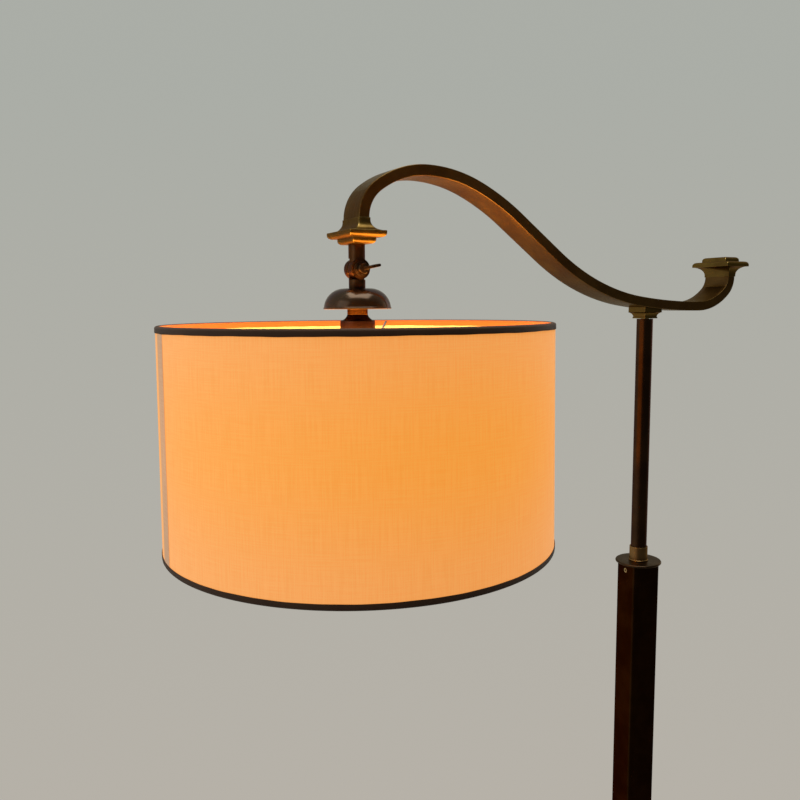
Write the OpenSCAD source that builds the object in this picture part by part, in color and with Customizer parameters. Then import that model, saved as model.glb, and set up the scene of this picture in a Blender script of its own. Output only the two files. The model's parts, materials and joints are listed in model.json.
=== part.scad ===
// Bridge floor lamp: a weighted square base, a square column, a round pole that slides in it,
// an S-curved flat arm that swivels on the pole, and a drum shade that tilts below the arm's end.
// Millimetres. The origin is the middle of the base's underside, +Z is up, and the arm lies in
// the XZ plane with the shade towards -X.

/* [Base] */
// Side of the square base
base_side = 270; // [230:1:320]
// Turn of the base and the column below the swivelled arm
base_turn = -10.4; // [-45:0.1:45]
// Height of the base's upright band
band_h = 12; // [10:0.5:16]
// Radius of the hollow moulding above the band
base_cove_r = 14; // [8:0.5:18]
// Sheet thickness of the base's cover
cover_wall = 1.5; // [1:0.1:2.5]
// Thickness of the felt pad
felt_t = 2; // [1.5:0.1:4]
// Side of the cast weight
weight_side = 232; // [200:1:234]
// Thickness of the cast weight's plate
weight_t = 18; // [14:0.5:20]
// Diameter of the raised boss on the weight
weight_boss_d = 90; // [70:1:120]
// Bore of the cord inlet
inlet_d = 7; // [5:0.1:7.4]

/* [Column] */
// Side of the square column
column_side = 38.4; // [34:0.1:44]
// Outer radius of the column's corners
column_corner_r = 3; // [2:0.1:5]
// Wall of the column
column_wall = 1.5; // [1:0.1:2.5]
// Height of the column's top above the floor
column_top = 979.8; // [800:0.1:1100]
// Side of the moulded foot around the column
foot_side = 64; // [58:0.5:76]
// Height of the foot's slab
foot_slab_h = 5; // [3:0.1:8]
// Diameter of the round cap on the column
cap_d = 58; // [52:0.5:66]
// Thickness of the round cap
cap_t = 3.2; // [2.4:0.1:5]
// Height of the brass collar above the cap
collar_h = 18.5; // [12:0.5:26]
// Wall of the brass collar
collar_wall = 1.4; // [1:0.1:2]
// Height of the guide block in the column's top
guide_block_h = 40; // [32:0.5:60]
// Diameter of the screw that locks the pole
lock_screw_d = 6; // [4:0.1:7]
// Depth of the lock screw below the column's top
lock_screw_drop = 9.5; // [7:0.1:20]

/* [Pole] */
// Diameter of the pole
pole_d = 20; // [16:0.1:21]
// Wall of the pole
pole_wall = 1.5; // [1:0.1:2.5]
// Pole seen between the cap and the arm's capital
pole_show = 314.5; // [300:0.5:420]
// Pole hidden in the column
pole_hidden = 200; // [180:1:300]
// Height of the sliding shoe at the pole's foot
shoe_h = 22; // [14:0.5:30]
// Outer diameter of the threaded lamp tubes
nipple_d = 10; // [8:0.1:11]
// Bore of the threaded lamp tubes
nipple_bore = 7; // [5:0.1:7.5]

/* [Arm] */
// Distance between the pole's axis and the shade's axis
reach = 402.8; // [360:0.2:460]
// Width of the arm's flat bar
bar_w = 38.4; // [32:0.1:44]
// Thickness of the arm's flat bar
bar_t = 11.5; // [10:0.1:14]
// Wall of the arm's hollow bar
bar_wall = 1.6; // [1.2:0.1:2]
// Slope of the bar over the pole
seat_slope = 5.7; // [3:0.1:7]
// Radius of the shallow sweep over the pole
seat_r = 765; // [600:5:900]
// Slope where the shallow sweep meets the rising sweep
low_slope = 7.6; // [7.1:0.1:10]
// Radius of the rising sweep
rise_r = 290; // [240:1:320]
// Steepest slope of the bar
steep_slope = 35.9; // [33:0.1:38]
// Radius of the rounding into the crest
shoulder_r = 278; // [230:1:300]
// Slope where the shoulder meets the crest
crest_slope = 23.3; // [18:0.1:27]
// Radius of the crest
crest_r = 162; // [130:1:180]
// Radius of the crook's upper part
crook_top_r = 98; // [80:1:110]
// Slope where the crook tightens
crook_slope = 36.4; // [30:0.1:45]
// Radius of the crook's tight part
crook_r = 39.4; // [34:0.1:50]
// Radius of the rear curl's lower part
curl_low_r = 75; // [60:1:90]
// Slope where the rear curl tightens
curl_slope = 41.6; // [30:0.1:50]
// Radius of the rear curl's tight part
curl_r = 26; // [22:0.1:40]

/* [Mouldings] */
// Depth of an end casting's slab along the arm
slab_x = 41; // [38:0.1:46]
// Width of an end casting's slab across the arm
slab_y = 58.3; // [56:0.1:64]
// Height of an end casting's slab
slab_h = 5.5; // [4:0.1:7]
// Depth of an end casting's small tier along the arm
tier_x = 26; // [22:0.1:32]
// Width of an end casting's small tier across the arm
tier_y = 39; // [30:0.1:44]
// Height of an end casting's small tier
tier_h = 6; // [4:0.1:8]
// Height of the lip where a casting meets the bar
lip_h = 2.5; // [1.5:0.1:4]
// Step of the lip beyond the bar
lip_step = 0.8; // [0.4:0.1:1.4]
// Radius of an end casting's hollow flare
flare_r = 11.5; // [9:0.1:13]
// Side of the capital's upper slab
capital_side = 29; // [26:0.1:34]
// Side of the capital's lower step
capital_foot = 20.6; // [19:0.1:23]
// Height of the capital under the bar
capital_h = 13.4; // [12:0.1:18]

/* [Knuckle and dome] */
// Diameter of the stems above and below the knuckle
stem_d = 17; // [15:0.1:19]
// Distance from the arm's casting down to the knuckle's axis
stem_drop = 24.9; // [22:0.1:30]
// Radius of the knuckle's two halves
knuckle_r = 10.3; // [9:0.1:11.5]
// Width of the knuckle across both halves
knuckle_w = 19; // [17:0.1:22]
// Thickness of the fibre washer between the halves
fibre_t = 0.9; // [0.5:0.1:1.5]
// Diameter of the clamp screw's shank
clamp_d = 6; // [5:0.1:7]
// Reach of the clamp screw's thumb blade from its axis
blade_reach = 18.5; // [15:0.1:19]
// Distance from the knuckle's axis down to the dome
dome_drop = 19.5; // [19:0.1:24]
// Diameter of the dome cover at its rim
dome_d = 69; // [60:0.5:76]
// Height of the dome cover
dome_h = 21; // [17:0.1:25]
// Sheet thickness of the dome cover
dome_wall = 1; // [0.8:0.1:1.6]
// Diameter of the neck under the dome
neck_d = 21; // [18:0.1:24]
// Neck seen under the dome's rim
neck_show = 5.6; // [4:0.1:9]

/* [Lampholder and bulb] */
// Diameter of the lampholder
holder_d = 36; // [36:0.1:38]
// Height of the lampholder's flared shoulder
holder_shoulder_h = 6.4; // [5:0.1:9]
// Height of the lampholder cap's skirt
holder_skirt_h = 11; // [8:0.1:14]
// Length of the lampholder's shell down to its flange
holder_shell_h = 38.2; // [34:0.1:44]
// Length of the lampholder's threaded nose
holder_nose_h = 11; // [10.5:0.1:14]
// Wall of the lampholder
holder_wall = 1.5; // [1.2:0.1:1.6]
// Diameter of the bulb's screw cap
bulb_cap_d = 26.2; // [25:0.1:26.6]
// Length of the bulb's screw cap
bulb_cap_h = 26; // [24:0.1:28]
// Diameter of the bulb
bulb_d = 60; // [54:0.5:64]
// Length of the bulb's glass
bulb_glass_h = 82.4; // [76:0.1:90]

/* [Shade] */
// Radius of the shade at its top
shade_top_r = 200; // [180:0.5:210]
// How much wider the shade is at its bottom, on the radius
shade_flare = 2; // [0:0.5:12]
// Height of the shade
shade_h = 229.4; // [200:0.2:260]
// Thickness of the shade's laminated cloth
cloth_t = 1; // [0.8:0.1:1.5]
// Height of the top and bottom trim
trim_h = 6.4; // [5:0.1:12]
// Thickness of the trim's tape
trim_t = 0.6; // [0.4:0.1:0.9]
// Diameter of the shade's ring wire
ring_wire_d = 3; // [2.4:0.1:3.6]
// Diameter of the spider's arms
spider_wire_d = 3; // [2.4:0.1:3.6]
// Distance from the shade's top down to the spider's hub
spider_drop = 48; // [40:0.1:60]
// Direction of the first spider arm
spider_turn = 54; // [0:1:119]
// Direction where the shade's lap seam starts
seam_from = 177; // [0:1:359]
// Width of the lap seam around the shade
seam_w = 20; // [12:0.5:30]

/* [Hidden] */
$fn = 96;
play = 0.05;          // radial play of a shaft in its bore
seat_gap = 0.1;       // play of a piece slipped over another
glue_gap = 0.15;      // space between glued cloth pieces
cut = 1;              // how far a cutter passes the face that it opens
edge_r = 1.5;         // rounding of the base band and the cap's edge
nut_flats = 14;
nut_h = 5.5;
washer_t = 1.5;
washer_d = 22;

// Heights from the floor up
rim_z = 1;
band_top = rim_z + band_h;
cover_top = band_top + base_cove_r;
cap_top = column_top + cap_t;
pole_top = cap_top + pole_show;
pole_bottom = cap_top - pole_hidden;
seat_under_z = pole_top + capital_h;
seat_z = seat_under_z + bar_t / 2 / cos(seat_slope);
flare_h = lip_h + flare_r;

// The bar's centre line: [x, z, heading], and runs of [radius, turn] or [0, length]
bar_seat_left = [0, seat_z, 180 - seat_slope];
bar_seat_right = [0, seat_z, -seat_slope];
function centre_of(s, run) = let(side = sign(run[1]))
    [s[0] - side * run[0] * sin(s[2]), s[1] + side * run[0] * cos(s[2])];
function after(s, run) = run[0] == 0
    ? [s[0] + run[1] * cos(s[2]), s[1] + run[1] * sin(s[2]), s[2]]
    : let(c = centre_of(s, run), dx = s[0] - c[0], dz = s[1] - c[1])
        [c[0] + dx * cos(run[1]) - dz * sin(run[1]),
         c[1] + dx * sin(run[1]) + dz * cos(run[1]), s[2] + run[1]];
function walk(s, runs, n) = n == 0 ? s : after(walk(s, runs, n - 1), runs[n - 1]);
function shade_runs(straight) = [
    [seat_r, seat_slope - low_slope],
    [rise_r, low_slope - steep_slope],
    [0, straight],
    [shoulder_r, steep_slope - crest_slope],
    [crest_r, crest_slope],
    [crook_top_r, crook_slope],
    [crook_r, 90 - crook_slope]];
// The straight between the sweeps takes up what the curves leave of the reach
straight_l = (reach + walk(bar_seat_left, shade_runs(0), 7)[0]) / cos(steep_slope);
runs_left = shade_runs(straight_l);
runs_right = [[seat_r, seat_slope], [curl_low_r, curl_slope], [curl_r, 90 - curl_slope]];
bar_end = walk(bar_seat_left, runs_left, len(runs_left));
curl_end = walk(bar_seat_right, runs_right, len(runs_right));

// Heights of the head, from the arm's end down
head_x = -reach;
casting_low = bar_end[1] - flare_h - slab_h - tier_h;
knuckle_z = casting_low - stem_drop;
dome_top = knuckle_z - dome_drop;
dome_rim = dome_top - dome_h;
holder_top = dome_rim - neck_show;
shoulder_low = holder_top - holder_shoulder_h;
skirt_low = shoulder_low - holder_skirt_h;
flange_t = 1.5;
flange_low = skirt_low - seat_gap - holder_shell_h;
hub_t = 2;
hub_top = flange_low - seat_gap;
hub_z = hub_top - hub_t / 2;
shade_top = hub_z + spider_drop;
shade_low = shade_top - shade_h;
nose_r = holder_d / 2 + 0.75;
nose_low = flange_low - holder_nose_h;
holder_in_r = holder_d / 2 - holder_wall;
insert_play = 0.3;
insert_r = holder_in_r - insert_play;
contact_z = skirt_low - 14;
bulb_top = contact_z - 2.5;
glass_top = bulb_top - bulb_cap_h;

// Sizes across
column_in = column_side - 2 * column_wall;
inner_corner_r = max(column_corner_r - column_wall, 0.5);
bush_r = pole_d / 2 + 3;
collar_r = pole_d / 2 + play + collar_wall;
lock_z = column_top - lock_screw_drop;
wire_ring_r = shade_top_r - cloth_t - glue_gap - ring_wire_d / 2;
shade_bottom_r = shade_top_r + shade_flare;
low_ring_r = shade_bottom_r - cloth_t - glue_gap - ring_wire_d / 2;
ring_drop = trim_t + glue_gap + ring_wire_d / 2;
hub_r = nose_r + 7;
wire_hole_r = 2.5;
inlet_wall = 0.8;
inlet_z = rim_z + (band_h - cover_wall) / 2;
inlet_flange_t = 1.5; // outside, and a snap ring inside that is as wide
inlet_snap_t = 2;
felt_inset = 7;       // from the base's edge to the felt's
counterbore_d = 30;   // room for a spanner round the tie nut
cord_slot_w = 12;
foot_lip = 2;         // wall of the column's foot at its top
arc_step = 2.5;       // turn of the bar between two points of its outline

// ---- Shared shapes ----

module tube(od, id, h) {
    difference() {
        cylinder(d = od, h = h);
        translate([0, 0, -cut]) cylinder(d = id, h = h + 2 * cut);
    }
}

module both_sides() {
    children();
    mirror([1, 0]) children();
}

module rounded_square(side, r) {
    square([side - 2 * r, side], center = true);
    square([side, side - 2 * r], center = true);
    for (x = [-1, 1], y = [-1, 1])
        translate([x, y] * (side / 2 - r)) circle(r);
}

// Extrudes an upright profile, x across and y up, along the Y axis
module along_y(length) {
    rotate([90, 0, 0]) translate([0, 0, -length / 2]) linear_extrude(length) children();
}

// Two upright profiles cross at mitred corners
module mitred(length) {
    intersection() {
        along_y(length) children(0);
        rotate([0, 0, 90]) along_y(length) children(1);
    }
}

// A hollow fillet beside a post: the post's face is x = 0, the slab above is y = r
module cove_under_slab(r, width) {
    difference() {
        square([min(r, width), r]);
        translate([r, 0]) circle(r);
    }
}

// A slab with half-round edges, from y = 0 up
module nosed_slab(half, h) {
    translate([-half + h / 2, 0]) square([2 * half - h, h]);
    for (side = [-1, 1])
        translate([side * (half - h / 2), h / 2]) circle(h / 2);
}

// A tier with quarter-round upper edges
module soft_tier(half, h, r) {
    translate([-half, 0]) square([2 * half, h - r]);
    translate([-half + r, 0]) square([2 * (half - r), h]);
    for (side = [-1, 1])
        translate([side * (half - r), h - r]) circle(r);
}

module hex_nut(h) {
    difference() {
        cylinder(d = nut_flats / cos(30), h = h, $fn = 6);
        translate([0, 0, -cut]) cylinder(d = nipple_d + 2 * play, h = h + 2 * cut);
    }
}

module washer() {
    tube(washer_d, nipple_d + 2 * seat_gap, washer_t);
}

module on_base() {
    rotate([0, 0, base_turn]) children();
}

module at_head(z) {
    translate([head_x, 0, z]) children();
}

// ---- Base ----

module base_outline() {
    both_sides() {
        square([base_side / 2 - 2 * edge_r - base_cove_r, base_cove_r + band_h]);
        difference() {
            square([base_side / 2 - 2 * edge_r, band_h + base_cove_r]);
            translate([base_side / 2 - 2 * edge_r, band_h + base_cove_r]) circle(base_cove_r);
        }
        square([base_side / 2, band_h - edge_r]);
        square([base_side / 2 - edge_r, band_h]);
        translate([base_side / 2 - edge_r, band_h - edge_r]) circle(edge_r);
    }
}

module base_inside() {
    both_sides() {
        difference() {
            square([base_side / 2 - 2 * edge_r, band_h + base_cove_r - cover_wall]);
            translate([base_side / 2 - 2 * edge_r, band_h + base_cove_r])
                circle(base_cove_r + cover_wall);
        }
        translate([0, -cut]) square([base_side / 2 - cover_wall, band_h - cover_wall + cut]);
    }
}

module base_cover() {
    color("#4a3a2a") on_base() translate([0, 0, rim_z]) difference() {
        mitred(base_side) { base_outline(); base_outline(); }
        mitred(base_side) { base_inside(); base_inside(); }
        cylinder(d = nipple_d + 2 * seat_gap, h = cover_top + cut);
        translate([base_side / 2 - cover_wall - cut, 0, inlet_z - rim_z])
            rotate([0, 90, 0]) cylinder(d = inlet_d + 2 * inlet_wall, h = cover_wall + 2 * cut);
    }
}

counterbore_h = washer_t + nut_h + cut;

module base_weight() {
    color("#3a3a3c") on_base() translate([0, 0, felt_t]) difference() {
        union() {
            translate([0, 0, weight_t / 2]) cube([weight_side, weight_side, weight_t], center = true);
            cylinder(d = weight_boss_d, h = cover_top - cover_wall - felt_t);
        }
        translate([0, 0, -cut]) cylinder(d = nipple_d + 2 * seat_gap, h = cover_top);
        translate([0, 0, -cut]) cylinder(d = counterbore_d, h = counterbore_h + cut);
        translate([0, -cord_slot_w / 2, -cut])
            cube([weight_side, cord_slot_w, counterbore_h + cut]);
    }
}

module felt_pad() {
    color("#2c2a26") on_base() translate([0, 0, felt_t / 2])
        cube([base_side - 2 * felt_inset, base_side - 2 * felt_inset, felt_t], center = true);
}

module cord_inlet() {
    flange_r = inlet_d / 2 + inlet_wall + 0.6;
    barrel_r = inlet_d / 2 + inlet_wall - seat_gap;
    inner = -cover_wall - inlet_snap_t;
    color("#1b1a19") on_base() translate([base_side / 2, 0, inlet_z]) rotate([0, 90, 0])
        difference() {
            union() {
                cylinder(r = flange_r, h = inlet_flange_t);
                translate([0, 0, inner]) cylinder(r = barrel_r, h = -inner);
                translate([0, 0, inner]) cylinder(r = flange_r, h = inlet_snap_t);
            }
            translate([0, 0, inner - cut])
                cylinder(d = inlet_d, h = inlet_flange_t - inner + 2 * cut);
        }
}

washer_z = felt_t + counterbore_h - washer_t;
tie_low = washer_z - nut_h - 0.5;
foot_block_h = 26;
tie_top = cover_top + foot_block_h - 2;

module tie_tube() {
    color("#9a958a") on_base() translate([0, 0, tie_low])
        tube(nipple_d, nipple_bore, tie_top - tie_low);
}

module tie_washer() {
    color("#8f8a80") on_base() translate([0, 0, washer_z]) washer();
}

module tie_nut() {
    color("#9a958a") on_base() translate([0, 0, washer_z - nut_h]) hex_nut(nut_h);
}

// ---- Column ----

module foot_outline() {
    lip_half = column_side / 2 + foot_lip;
    cove = foot_side / 2 - foot_slab_h / 2 - lip_half;
    nosed_slab(foot_side / 2, foot_slab_h);
    both_sides() {
        square([lip_half, foot_slab_h + cove + lip_h]);
        translate([lip_half, foot_slab_h]) difference() {
            square(cove);
            translate([cove, cove]) circle(cove);
        }
    }
}

module column_foot() {
    color("#4a3a2a") on_base() translate([0, 0, cover_top]) difference() {
        mitred(foot_side) { foot_outline(); foot_outline(); }
        translate([0, 0, -cut]) linear_extrude(foot_side)
            rounded_square(column_side + 2 * seat_gap, column_corner_r + seat_gap);
    }
}

// The lock screw's axis runs out of the column's face towards the shade
module on_lock_axis() {
    translate([0, 0, lock_z]) rotate([0, -90, 0]) children();
}

module column_tube() {
    color("#3d3026") on_base() difference() {
        translate([0, 0, cover_top]) linear_extrude(column_top - cover_top) difference() {
            rounded_square(column_side, column_corner_r);
            rounded_square(column_in, inner_corner_r);
        }
        on_lock_axis() translate([0, 0, column_side / 4])
            cylinder(d = lock_screw_d + 2 * play, h = column_side);
    }
}

module column_foot_block() {
    color("#8d8a84") on_base() translate([0, 0, cover_top]) difference() {
        linear_extrude(foot_block_h)
            rounded_square(column_in - 2 * seat_gap, inner_corner_r);
        translate([0, 0, -cut]) cylinder(d = nipple_d + 2 * play, h = foot_block_h + 2 * cut);
    }
}

collar_spigot = 6;

module guide_block() {
    color("#b08d57") on_base() difference() {
        translate([0, 0, column_top - guide_block_h]) linear_extrude(guide_block_h)
            rounded_square(column_in - 2 * seat_gap, inner_corner_r);
        translate([0, 0, column_top - collar_spigot - seat_gap])
            cylinder(r = collar_r + seat_gap, h = guide_block_h);
        translate([0, 0, column_top - guide_block_h - cut])
            cylinder(r = bush_r + play, h = guide_block_h + cut - collar_spigot - seat_gap);
        on_lock_axis() cylinder(d = lock_screw_d + 2 * play, h = column_side);
    }
}

module guide_bush() {
    top = column_top - collar_spigot - 2 * seat_gap;
    color("#e8e4d8") on_base() difference() {
        translate([0, 0, column_top - guide_block_h]) cylinder(r = bush_r, h = top - column_top + guide_block_h);
        translate([0, 0, column_top - guide_block_h - cut])
            cylinder(r = pole_d / 2 + play, h = guide_block_h + 2 * cut);
        on_lock_axis() cylinder(d = lock_screw_d + 4 * seat_gap, h = column_side);
    }
}

module column_cap() {
    color("#8a6f45") translate([0, 0, column_top]) rotate_extrude() difference() {
        union() {
            square([cap_d / 2 - cap_t / 2, cap_t]);
            translate([cap_d / 2 - cap_t / 2, cap_t / 2]) circle(cap_t / 2);
        }
        translate([0, -cut]) square([collar_r + seat_gap, cap_t + 2 * cut]);
    }
}

module guide_collar() {
    bead_r = 0.7;
    color("#a5824f") translate([0, 0, column_top - collar_spigot]) rotate_extrude() {
        translate([pole_d / 2 + play, 0]) square([collar_wall, collar_spigot + cap_t + collar_h]);
        translate([collar_r, collar_spigot + cap_t + bead_r]) difference() {
            circle(bead_r);
            translate([-2 * bead_r, -bead_r]) square([2 * bead_r, 2 * bead_r]);
        }
    }
}

module lock_screw() {
    length = column_side / 2 - pole_d / 2 - seat_gap;
    color("#b99a62") on_base() on_lock_axis() translate([0, 0, pole_d / 2 + seat_gap])
        difference() {
            cylinder(d = lock_screw_d, h = length);
            translate([0, 0, length - 2.5]) cylinder(d = 3 / cos(30), h = 2.5 + cut, $fn = 6);
        }
}

// ---- Pole ----

head_flange_h = 3.2;
head_plug_h = 14;
shoe_play = 0.4;
shoe_floor = 2;
swivel_bite = 15;     // how deep the swivel tube sits in the pole's head

module pole_tube() {
    color("#5a4330") translate([0, 0, pole_bottom])
        tube(pole_d, pole_d - 2 * pole_wall, pole_top - head_flange_h - pole_bottom);
}

module pole_shoe() {
    color("#d9d4c6") on_base() translate([0, 0, pole_bottom - shoe_floor]) difference() {
        linear_extrude(shoe_h) rounded_square(column_in - 2 * shoe_play, inner_corner_r);
        translate([0, 0, shoe_floor]) cylinder(r = pole_d / 2 + play, h = shoe_h);
        translate([0, 0, -cut]) cylinder(d = pole_d - 2 * pole_wall, h = shoe_h);
    }
}

module pole_head() {
    color("#6b4f33") translate([0, 0, pole_top]) difference() {
        union() {
            translate([0, 0, -head_flange_h]) cylinder(d = pole_d, h = head_flange_h);
            translate([0, 0, -head_flange_h - head_plug_h])
                cylinder(d = pole_d - 2 * pole_wall - 2 * play, h = head_plug_h);
        }
        translate([0, 0, -head_flange_h - head_plug_h - cut])
            cylinder(d = nipple_d + 2 * play, h = head_flange_h + head_plug_h + 2 * cut);
    }
}

swivel_low = pole_top - swivel_bite;
nut_floor = seat_under_z + bar_wall / cos(seat_slope);

module swivel_tube() {
    color("#9a958a") translate([0, 0, swivel_low])
        tube(nipple_d, nipple_bore, nut_floor + thin_washer_t + thin_nut_h + 0.8 - swivel_low);
}

thin_washer_t = 1;
thin_nut_h = 3;
washer_lift = 1;      // the sloping floor's rise under the washer's edge

module swivel_washer() {
    color("#8f8a80") translate([0, 0, nut_floor + washer_lift])
        tube(18, nipple_d + 2 * seat_gap, thin_washer_t);
}

module swivel_nut() {
    color("#9a958a") translate([0, 0, nut_floor + washer_lift + thin_washer_t]) hex_nut(thin_nut_h);
}

// ---- Arm ----

// Points along a run, on a line that lies to the left of the heading by the given offset
function beside(s, offset) = [s[0] - offset * sin(s[2]), s[1] + offset * cos(s[2])];
function steps(run) = run[0] == 0 ? 1 : max(2, ceil(abs(run[1]) / arc_step));
function part_of(run, share) = [run[0], run[1] * share];
function edge(s, runs, offset, i = 0) = i == len(runs) ? [beside(s, offset)] : concat(
    [for (k = [0 : steps(runs[i]) - 1]) beside(after(s, part_of(runs[i], k / steps(runs[i]))), offset)],
    edge(after(s, runs[i]), runs, offset, i + 1));
function reversed(list) = [for (i = [len(list) - 1 : -1 : 0]) list[i]];

// The bar's upright outline, drawn smaller by the inset, and longer by the tail at both ends
module bar_outline(inset, tail) {
    half = bar_t / 2 - inset;
    left = concat(runs_left, [[0, tail]]);
    right = concat(runs_right, [[0, tail]]);
    polygon(concat(
        reversed(edge(bar_seat_left, left, -half)), edge(bar_seat_right, right, half),
        reversed(edge(bar_seat_right, right, -half)), edge(bar_seat_left, left, half)));
}

module arm_bar() {
    color("#6e5a3c") difference() {
        along_y(bar_w) bar_outline(0, 0);
        along_y(bar_w - 2 * bar_wall) bar_outline(bar_wall, cut);
        translate([0, 0, pole_top]) cylinder(d = nipple_d + 2 * play, h = seat_z - pole_top);
    }
}

// Upright outline of an end casting, from the bar's end at y = 0 up to its tier
module casting_outline(bar_half, slab_half, tier_half) {
    lip_half = bar_half + lip_step;
    both_sides() {
        square([lip_half, flare_h]);
        translate([lip_half, lip_h]) cove_under_slab(flare_r, slab_half - slab_h / 2 - lip_half);
    }
    translate([0, flare_h]) nosed_slab(slab_half, slab_h);
    translate([0, flare_h + slab_h]) soft_tier(tier_half, tier_h, 2);
}

spigot_h = 3;
spigot_inset = 10;    // space beside the spigot, across the bar
casting_bore_h = 14;
arm_tube_up = 13;     // how deep the arm's tube sits in the casting
stem_gap = 0.4;       // space between a knuckle's disc and the other half's stem
stem_web = 1.5;       // what is left between a stem's bore and the discs
bore_play = 0.5;      // space past a tube's end in its bore
function stem_bore(stem_h) = stem_h - knuckle_r - stem_gap - stem_web;

module end_casting() {
    mitred(2 * slab_y) {
        casting_outline(bar_t / 2, slab_x / 2, tier_x / 2);
        casting_outline(bar_w / 2, slab_y / 2, tier_y / 2);
    }
    translate([0, 0, -spigot_h / 2]) cube([bar_t - 2 * bar_wall - 6 * seat_gap,
        bar_w - 2 * bar_wall - 2 * spigot_inset, spigot_h], center = true);
}

module shade_end_casting() {
    color("#8a6f45") difference() {
        at_head(bar_end[1]) mirror([0, 0, 1]) end_casting();
        at_head(casting_low - cut) cylinder(d = nipple_d + 2 * play, h = casting_bore_h + cut);
        at_head(casting_low - cut) cylinder(d = nipple_bore, h = flare_h + slab_h + tier_h + 2 * spigot_h);
    }
}

module rear_finial() {
    color("#7d6a48") translate([curl_end[0], 0, curl_end[1]]) end_casting();
}

module capital_outline() {
    upper_h = 5;
    step_h = 2.4;
    cove = capital_h - upper_h - step_h;
    half = capital_side / 2;
    foot = capital_foot / 2;
    translate([-half, capital_h - upper_h]) square([2 * half, 2 * upper_h]);
    both_sides() {
        square([foot, capital_h]);
        translate([foot, step_h]) cove_under_slab(cove, half - foot);
        square([foot + 0.6, step_h]);
    }
}

module arm_capital() {
    color("#8a6f45") difference() {
        translate([0, 0, pole_top]) mitred(capital_side) { capital_outline(); capital_outline(); }
        along_y(bar_w) bar_outline(0, 0);
        translate([0, 0, pole_top - cut])
            cylinder(d = nipple_d + 2 * play, h = capital_h + 8);
    }
}

module arm_tube() {
    low = casting_low - stem_bore(stem_drop) + bore_play;
    color("#9a958a") at_head(low) tube(nipple_d, nipple_bore, casting_low + arm_tube_up - low);
}

// ---- Knuckle ----

module along_knuckle() {
    rotate([90, 0, 0]) children();
}

// One half of the knuckle with its stem going up and its disc on the -Y side
module knuckle_half(stem_h, screw_d) {
    face = fibre_t / 2 + play;
    stem_from = knuckle_r + stem_gap;
    bore_h = stem_bore(stem_h);
    difference() {
        union() {
            translate([0, -face, 0]) along_knuckle() cylinder(r = knuckle_r, h = knuckle_w / 2 - face);
            intersection() {
                cylinder(d = stem_d, h = stem_from + cut);
                translate([-stem_d, -stem_d - face, 0]) cube([2 * stem_d, stem_d, stem_h]);
            }
            translate([0, 0, stem_from]) cylinder(d = stem_d, h = stem_h - stem_from);
        }
        translate([0, cut, 0]) along_knuckle() cylinder(d = screw_d, h = knuckle_w + 2 * cut);
        translate([0, 0, stem_h - bore_h]) cylinder(d = nipple_d + 2 * play, h = bore_h + cut);
    }
}

module knuckle_upper() {
    color("#7a5a34") at_head(knuckle_z) knuckle_half(stem_drop, clamp_d + 4 * seat_gap);
}

module knuckle_lower() {
    color("#6b4f33") at_head(knuckle_z) rotate([180, 0, 0])
        knuckle_half(dome_drop, clamp_d + 2 * play);
}

module knuckle_washer() {
    color("#5b3a2a") at_head(knuckle_z) translate([0, fibre_t / 2, 0]) along_knuckle()
        tube(2 * knuckle_r - 1, clamp_d + 4 * seat_gap, fibre_t);
}

module clamp_screw() {
    boss_d = 11;
    boss_h = 5.5;
    boss_crown = 2.2;
    blade_t = 3;
    blade_w = 8;
    blade_lift = 12;
    face = knuckle_w / 2 + play;
    color("#a07c48") at_head(knuckle_z) rotate([0, -blade_lift, 0]) {
        translate([0, knuckle_w / 2 - 1.5, 0]) along_knuckle()
            cylinder(d = clamp_d, h = knuckle_w / 2 - 1.5 + face);
        translate([0, -face, 0]) along_knuckle() {
            cylinder(d = boss_d + 4, h = 1);
            cylinder(d = boss_d, h = boss_h);
            translate([0, 0, boss_h]) intersection() {
                sphere(d = boss_d);
                cylinder(d = boss_d, h = boss_crown);
            }
        }
        translate([0, -face - 1.5, 0]) along_knuckle() linear_extrude(blade_w) {
            translate([0, -blade_t / 2]) square([blade_reach - blade_t / 2, blade_t]);
            translate([blade_reach - blade_t / 2, 0]) circle(d = blade_t);
        }
    }
}

// ---- Dome and lampholder ----

module dome_profile(r, h, wide) {
    square([wide, h]);
    intersection() {
        translate([wide, 0]) circle(h);
        square([r, h]);
    }
}

module dome_cover() {
    flat_r = dome_d / 2 - dome_h;
    bead_r = 0.9;
    color("#4d382a") at_head(dome_rim) rotate_extrude() difference() {
        union() {
            dome_profile(dome_d / 2, dome_h, flat_r);
            translate([dome_d / 2 - bead_r / 2, bead_r]) circle(bead_r);
        }
        dome_profile(dome_d / 2 - dome_wall, dome_h - dome_wall, flat_r);
        translate([0, -cut]) square([nipple_d / 2 + seat_gap, dome_h + 2 * cut]);
    }
}

module neck_sleeve() {
    color("#a5824f") at_head(holder_top)
        tube(neck_d, nipple_d + 2 * seat_gap, neck_show + dome_h - dome_wall);
}

holder_tube_down = 4; // thread below the lampholder cap's roof

module holder_tube() {
    low = holder_top - holder_wall - holder_tube_down;
    high = dome_top + stem_bore(dome_drop) - bore_play;
    color("#9a958a") at_head(low) tube(nipple_d, nipple_bore, high - low);
}

module holder_cap_profile(r, top_r, low, inset) {
    high = holder_skirt_h - inset;
    polygon([[0, low], [r, low], [r, high], [top_r, high + holder_shoulder_h],
        [0, high + holder_shoulder_h]]);
}

module lampholder_cap() {
    color("#2f231b") at_head(skirt_low) rotate_extrude() difference() {
        holder_cap_profile(holder_d / 2, neck_d / 2, 0, 0);
        holder_cap_profile(holder_in_r, neck_d / 2 - holder_wall, -cut, holder_wall);
        square([nipple_d / 2 + play, 2 * (holder_shoulder_h + holder_skirt_h)]);
    }
}

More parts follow.
